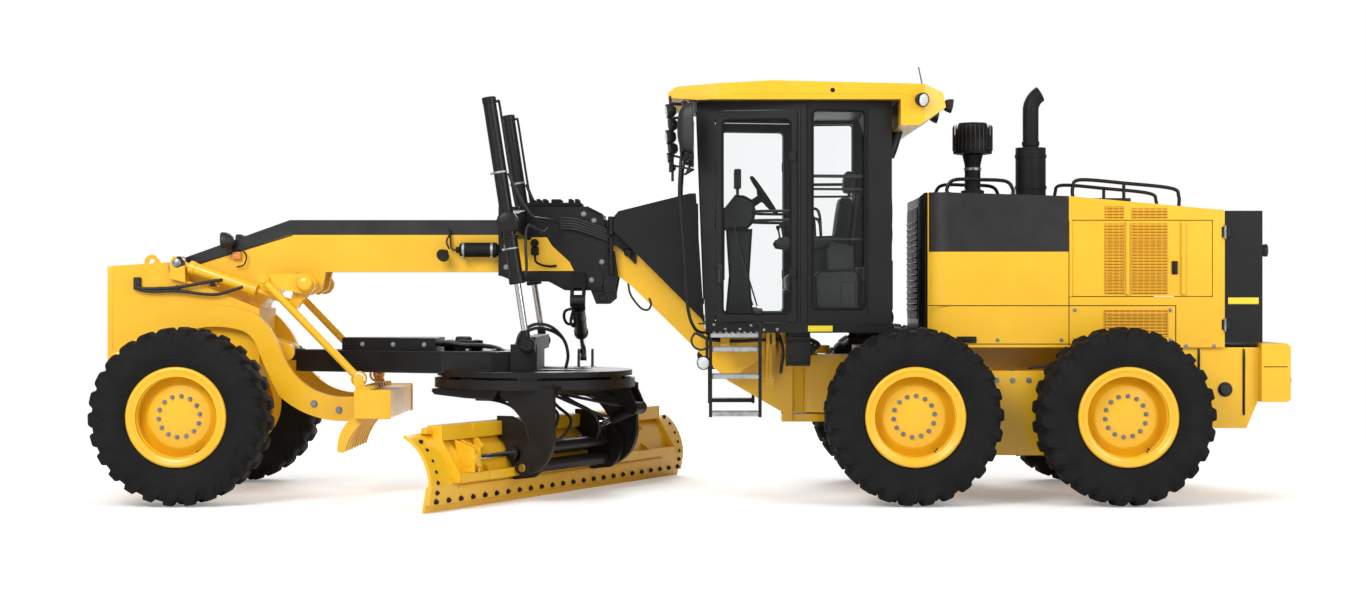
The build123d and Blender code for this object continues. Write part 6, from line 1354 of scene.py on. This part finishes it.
def louvre_bank(x_low, x_high, z_low, z_high, pitch=0.024):
    """A bank of pressed louvres: a thin plate and slats, each a wedge that leans out and down."""
    shapes = [block((x_low, HOOD_HALF + 0.0002, z_low), (x_high, HOOD_HALF + 0.002, z_high), 0.0)]
    for z in np.arange(z_low + pitch * 0.7, z_high - pitch * 0.2, pitch):
        wedge = [(0.002, 0.006), (0.012, -0.007), (0.009, -0.01), (0.002, -0.002)]
        shapes.append(prism(wedge, x_low + 0.006, x_high - 0.006, (0, HOOD_HALF, z), Y, Z, 0.0))
    return join(*shapes)


def louvre_frame(x_low, x_high, z_low, z_high, width=0.01):
    """A narrow raised frame round a bank of louvres."""
    return join(block((x_low - width, HOOD_HALF, z_low - width), (x_low, HOOD_HALF + 0.009, z_high + width), 0.0015),
        block((x_high, HOOD_HALF, z_low - width), (x_high + width, HOOD_HALF + 0.009, z_high + width), 0.0015),
        block((x_low, HOOD_HALF, z_low - width), (x_high, HOOD_HALF + 0.009, z_low), 0.0015),
        block((x_low, HOOD_HALF, z_high), (x_high, HOOD_HALF + 0.009, z_high + width), 0.0015))


for side, side_name in ((1, "left"), (-1, "right")):
    door = f"{side_name}_engine_door"
    flip = (lambda shape: shape) if side > 0 else mirrored
    banks = [louvre_bank(-3.251, -3.105, 1.552, 2.085), louvre_bank(-3.579, -3.303, 1.552, 2.085)]
    piece(f"{door}_louvres", [flip(shape) for shape in banks], louvre, door, 25)
    ribs = [side_panel(-3.29, -3.264, 1.545, 2.1, 0.0, 0.016, 0.005),
        side_panel(-3.712, -3.68, 1.545, 2.1, 0.0, 0.018, 0.006)]
    piece(f"{door}_ribs", [flip(shape) for shape in ribs], yellow, door, 35)
    latch = [flip(block((-3.655, HOOD_HALF, 1.7), (-3.61, HOOD_HALF + 0.012, 1.8), 0.004)),
        flip(rod((-3.632, HOOD_HALF + 0.01, 1.72), (-3.632, HOOD_HALF + 0.02, 1.72), 0.011, 16, 0.002))]
    piece(f"{door}_latch", latch, black, door)
    hinges = [rod((-2.8516, HOOD_HALF + 0.003, z - 0.045), (-2.8516, HOOD_HALF + 0.003, z + 0.045), 0.007, 14, 0.002)
        for z in (1.64, 2.0)]
    piece(f"{door}_hinges", [flip(shape) for shape in hinges], zinc, REAR)
lower = join(louvre_bank(-3.575, -3.11, 1.243, 1.424), louvre_frame(-3.575, -3.11, 1.243, 1.424))
piece("hood_lower_louvres", both(lower), louvre, REAR, 25)
upper_bank = [louvre_bank(-3.251, -3.105, 2.12, 2.215), louvre_bank(-3.579, -3.303, 2.12, 2.2)]
piece("hood_upper_louvres", both(*upper_bank), louvre, REAR, 25)
piece("hood_side_latches", both(block((-2.14, HOOD_HALF, 1.185), (-1.99, HOOD_HALF + 0.014, 1.232), 0.005),
    block((-2.11, HOOD_HALF + 0.012, 1.198), (-2.03, HOOD_HALF + 0.024, 1.219), 0.004)), black, REAR)


def hood_rail(x_places, y, height, foot):
    """A hand rail on the hood's top: a tube that rises from one foot, runs level and falls to the other."""
    front, rear = x_places
    feet = [(x, y, float(hood_top(x)) - foot) for x in (front, rear)]
    line = [feet[0], (front, y, height[0] - 0.06), (front - 0.055, y, height[0]), ((front + rear) / 2, y,
        (height[0] + height[1]) / 2 + 0.006), (rear + 0.055, y, height[1]), (rear, y, height[1] - 0.06), feet[1]]
    pads = [lathe([(0.0, 0.016), (0.03, 0.014), (0.036, 0.0), (0.0, -0.004)], p, Z, 20) for p in feet]
    return join(pipe(line, 0.014, 12, 7), *pads)


piece("hood_rear_rails", both(hood_rail((-2.91, -3.72), 0.4, (2.425, 2.36), 0.0)), black, REAR, 50)
piece("hood_front_rails", both(hood_rail((-1.95, -2.45), 0.4, (2.425, 2.415), 0.0)), black, REAR, 50)
piece("hood_rail_posts", both(rod((-3.3, 0.4, 2.235), (-3.3, 0.4, 2.395), 0.013, 12, 0.002)), black, REAR)
piece("hood_top_seams", [block((-2.84, -0.4, 2.2885), (-2.834, 0.4, 2.2915), 0.0), block((-3.4, -0.18, 2.2395),
    (-2.9, 0.18, 2.296), 0.004)], black, REAR)
piece("hood_front_screen", [prism(soft_rectangle(0.78, 0.86, 0.06), 0.0, 0.006, (HOOD_FRONT, 0, 1.79), Y, Z, 0.002)]
    + [block((HOOD_FRONT + 0.006, -0.36, 1.42 + 0.045 * k), (HOOD_FRONT + 0.014, 0.36, 1.434 + 0.045 * k), 0.002)
    for k in range(16)], black, REAR)

# ================= air cleaner and exhaust =================
CLEANER_X, STACK_X, CAP_Z = -2.195, -2.65, 2.64
cleaner_ribs = [prism([(0.149, 0.0), (0.1575, 0.0), (0.1575, 0.18), (0.149, 0.2)], -0.004, 0.004,
    (CLEANER_X, 0, CAP_Z + 0.035), (cos(a), sin(a), 0), Z, 0.001) for a in np.linspace(0, 2 * pi, 29)[:-1]]
piece("air_cleaner_ribs", cleaner_ribs, plastic, REAR)
piece("air_cleaner_band", [lathe([(0.058, -0.012), (0.068, -0.01), (0.068, 0.01), (0.058, 0.012)],
    (CLEANER_X, 0, 2.53), Z, 32), rod((CLEANER_X, 0.06, 2.53), (CLEANER_X, 0.086, 2.53), 0.007, 12, 0.002)], zinc,
    REAR)
piece("air_cleaner_foot", [lathe([(0.063, -0.02), (0.105, 0.0), (0.105, 0.012), (0.078, 0.02), (0.068, 0.052),
    (0.063, 0.055)], (CLEANER_X, 0, 2.318), Z, 32), hexagon_bolts([(CLEANER_X + 0.09 * cos(a), 0.09 * sin(a), 2.33)
    for a in (0.6, 2.2, 3.9, 5.3)], Z, 0.008, 0.008)], plastic, REAR)
piece("exhaust_bands", [lathe([(0.116, -0.014), (0.124, -0.012), (0.124, 0.012), (0.116, 0.014)], (STACK_X, 0, z), Z,
    36) for z in (2.385, 2.63)] + [lathe([(0.06, -0.014), (0.069, -0.01), (0.069, 0.02), (0.06, 0.024)],
    (STACK_X, 0, 2.725), Z, 28), lathe([(0.116, -0.01), (0.15, 0.0), (0.15, 0.01), (0.118, 0.022)], (STACK_X, 0, 2.3),
    Z, 36)], hot_black, REAR, slot="dark_plastic")

# ================= radiator end and bumper =================
HOUSING_SIDE = 0.628
piece("radiator_side_tape", both(block((-4.27, HOUSING_SIDE, 1.476), (-4.04, 0.633, 1.525), 0.0)), reflector, REAR)
hinge_blocks, pins = [], []
for z_low, z_high in ((1.27, 1.37), (1.965, 2.07)):
    hinge_blocks.append(block((-4.06, HOUSING_SIDE, z_low + 0.012), (-3.985, 0.656, z_high - 0.012), 0.005))
    pins.append(rod((-4.01, 0.664, z_low), (-4.01, 0.664, z_high), 0.011, 14, 0.003))
piece("radiator_side_hinges", both(*hinge_blocks), black, REAR)
piece("radiator_hinge_pins", both(*pins), zinc, REAR)
rear_cup, rear_lens = work_lamp((-4.372, 0.4, 1.885), (-1, 0, 0), 0.72)
piece("tail_lamp_bodies", both(rear_cup, rod((-4.3, 0.4, 1.885), (-4.35, 0.4, 1.885), 0.014, 12, 0.002)), plastic,
    "radiator_door")
piece("tail_lamp_lenses", both(rear_lens), red_lens, "radiator_door")
MESH_BACK = min(float(corner[0]) for corner in bpy.data.objects["radiator_door"].bound_box)
grille, frame_bars = [], []
for k in range(19):
    z = 1.33 + 0.04 * k
    grille.append(prism([(0.0, 0.01), (-0.016, -0.006), (-0.013, -0.011), (0.0, 0.002)], -0.455, 0.455,
        (MESH_BACK + 0.0005, 0, z), X, Z, 0.0015))
for y in (-0.47, 0.47):
    frame_bars.append(block((MESH_BACK - 0.018, y - 0.015, 1.3), (MESH_BACK + 0.001, y + 0.015, 2.085), 0.004))
for z in (1.3, 2.085):
    frame_bars.append(block((MESH_BACK - 0.018, -0.485, z - 0.015), (MESH_BACK + 0.001, 0.485, z + 0.015), 0.004))
piece("radiator_grille", grille, louvre, "radiator_door", 25)
piece("radiator_grille_frame", frame_bars + [block((MESH_BACK - 0.02, -0.012, 1.31), (MESH_BACK - 0.002, 0.012, 2.08),
    0.004)], black, "radiator_door")
piece("radiator_door_latches", [block((MESH_BACK - 0.014, 0.485, z - 0.04), (MESH_BACK + 0.001, 0.518, z + 0.04),
    0.004) for z in (1.45, 1.95)] + [rod((MESH_BACK - 0.012, 0.502, z), (MESH_BACK - 0.024, 0.502, z), 0.01, 14,
    0.002) for z in (1.45, 1.95)], zinc, "radiator_door")
BUMPER_BACK = -4.494
bumper_seam = block((-4.47, 0.698, 1.002), (-4.29, 0.7015, 1.008), 0.0)
piece("bumper_seams", [bumper_seam, mirrored(bumper_seam), block((-4.4955, -0.66, 1.002), (-4.493, 0.66, 1.008),
    0.0)], rubber, REAR)
tail = [prism(soft_rectangle(0.21, 0.09, 0.018), -0.01, 0.01, (-4.498, y, 0.9), Y, Z, 0.004) for y in (-0.55, 0.55)]
piece("bumper_lamp_bezels", tail, plastic, REAR)
piece("bumper_lamps", [lathe([(0.0, 0.016), (0.028, 0.012), (0.036, 0.0)], (-4.508, y + dy, 0.9), (-1, 0, 0), 24)
    for y in (-0.55, 0.55) for dy in (-0.045, 0.045)], red_lens, REAR)
piece("bumper_bolts", [hexagon_bolts([(BUMPER_BACK, y, 1.1) for y in (-0.3, -0.1, 0.1, 0.3)]
    + [(BUMPER_BACK, y, 0.82) for y in (-0.2, 0.2)], (-1, 0, 0), 0.017, 0.014)], zinc, REAR)
piece("tow_pin", [rod((-4.505, 0, 0.76), (-4.505, 0, 0.9), 0.024, 18, 0.004), prism(soft_rectangle(0.12, 0.09, 0.02),
    0.9, 0.925, (-4.52, 0, 0), X, Y, 0.004), prism(soft_rectangle(0.12, 0.09, 0.02), 0.745, 0.77, (-4.52, 0, 0), X, Y,
    0.004)], black, REAR)
piece("fuel_caps", [lathe([(0.0, 0.034), (0.036, 0.032), (0.044, 0.024), (0.045, 0.004), (0.056, 0.003), (0.056, 0.0),
    (0.0, -0.004)], (-4.02, 0.62, 0.832), Y, 28)], plastic, REAR)
piece("fuel_tank_straps", [pipe([(x, 0.56, 1.148), (x, 0.624, 1.12), (x, 0.625, 0.9), (x, 0.625, 0.64)], 0.009, 6, 4)
    for x in (-3.82, -4.16)], black, REAR)

# ================= tandem cases and the sill between hood and wheels =================
case_parts, case_bolts = [], []
CASE_BOLT_RING = 0.195
for x in (AXLES["middle"], AXLES["rear"]):
    case_parts.append(lathe([(0.0, 0.03), (0.15, 0.028), (0.185, 0.012), (0.205, 0.01), (0.215, 0.0)],
        (x, 0.535, AXLE_Z), (0, -1, 0), 36))
    case_bolts += [(x + CASE_BOLT_RING * cos(a), 0.526, AXLE_Z + CASE_BOLT_RING * sin(a))
                   for a in np.linspace(0, 2 * pi, 13)[:-1]]
cover_x = (-1.9, -2.15, -2.4, -2.65, -2.9)
case_parts.append(block((-2.95, 0.56, 0.964), (-1.85, 0.72, 0.974), 0.003))
case_bolts_top = hexagon_bolts([(x, y, 0.974) for x in cover_x for y in (0.58, 0.7)], Z, 0.013, 0.01)
piece("tandem_covers", both(*case_parts), yellow, REAR)
piece("tandem_bolts", both(hexagon_bolts(case_bolts, (0, -1, 0), 0.012, 0.012), case_bolts_top,
    hexagon_bolts([(-2.4, 0.74, 0.905), (-2.28, 0.74, 0.905), (-2.52, 0.74, 0.905)], Y, 0.016, 0.014)), zinc, REAR)
piece("rear_brake_lines", both(pipe([(-2.25, 0.52, 0.99), (-2.15, 0.56, 1.0), (-1.95, 0.56, 0.985),
    (-1.8, 0.545, 0.88), (-1.72, 0.53, 0.8)], 0.009, 8, 8), pipe([(-2.55, 0.52, 0.99), (-2.7, 0.56, 1.0),
    (-2.9, 0.555, 0.98), (-3.05, 0.545, 0.88)], 0.009, 8, 8)), hose, REAR, 50)


bpy.context.scene.view_settings.view_transform = "Standard"
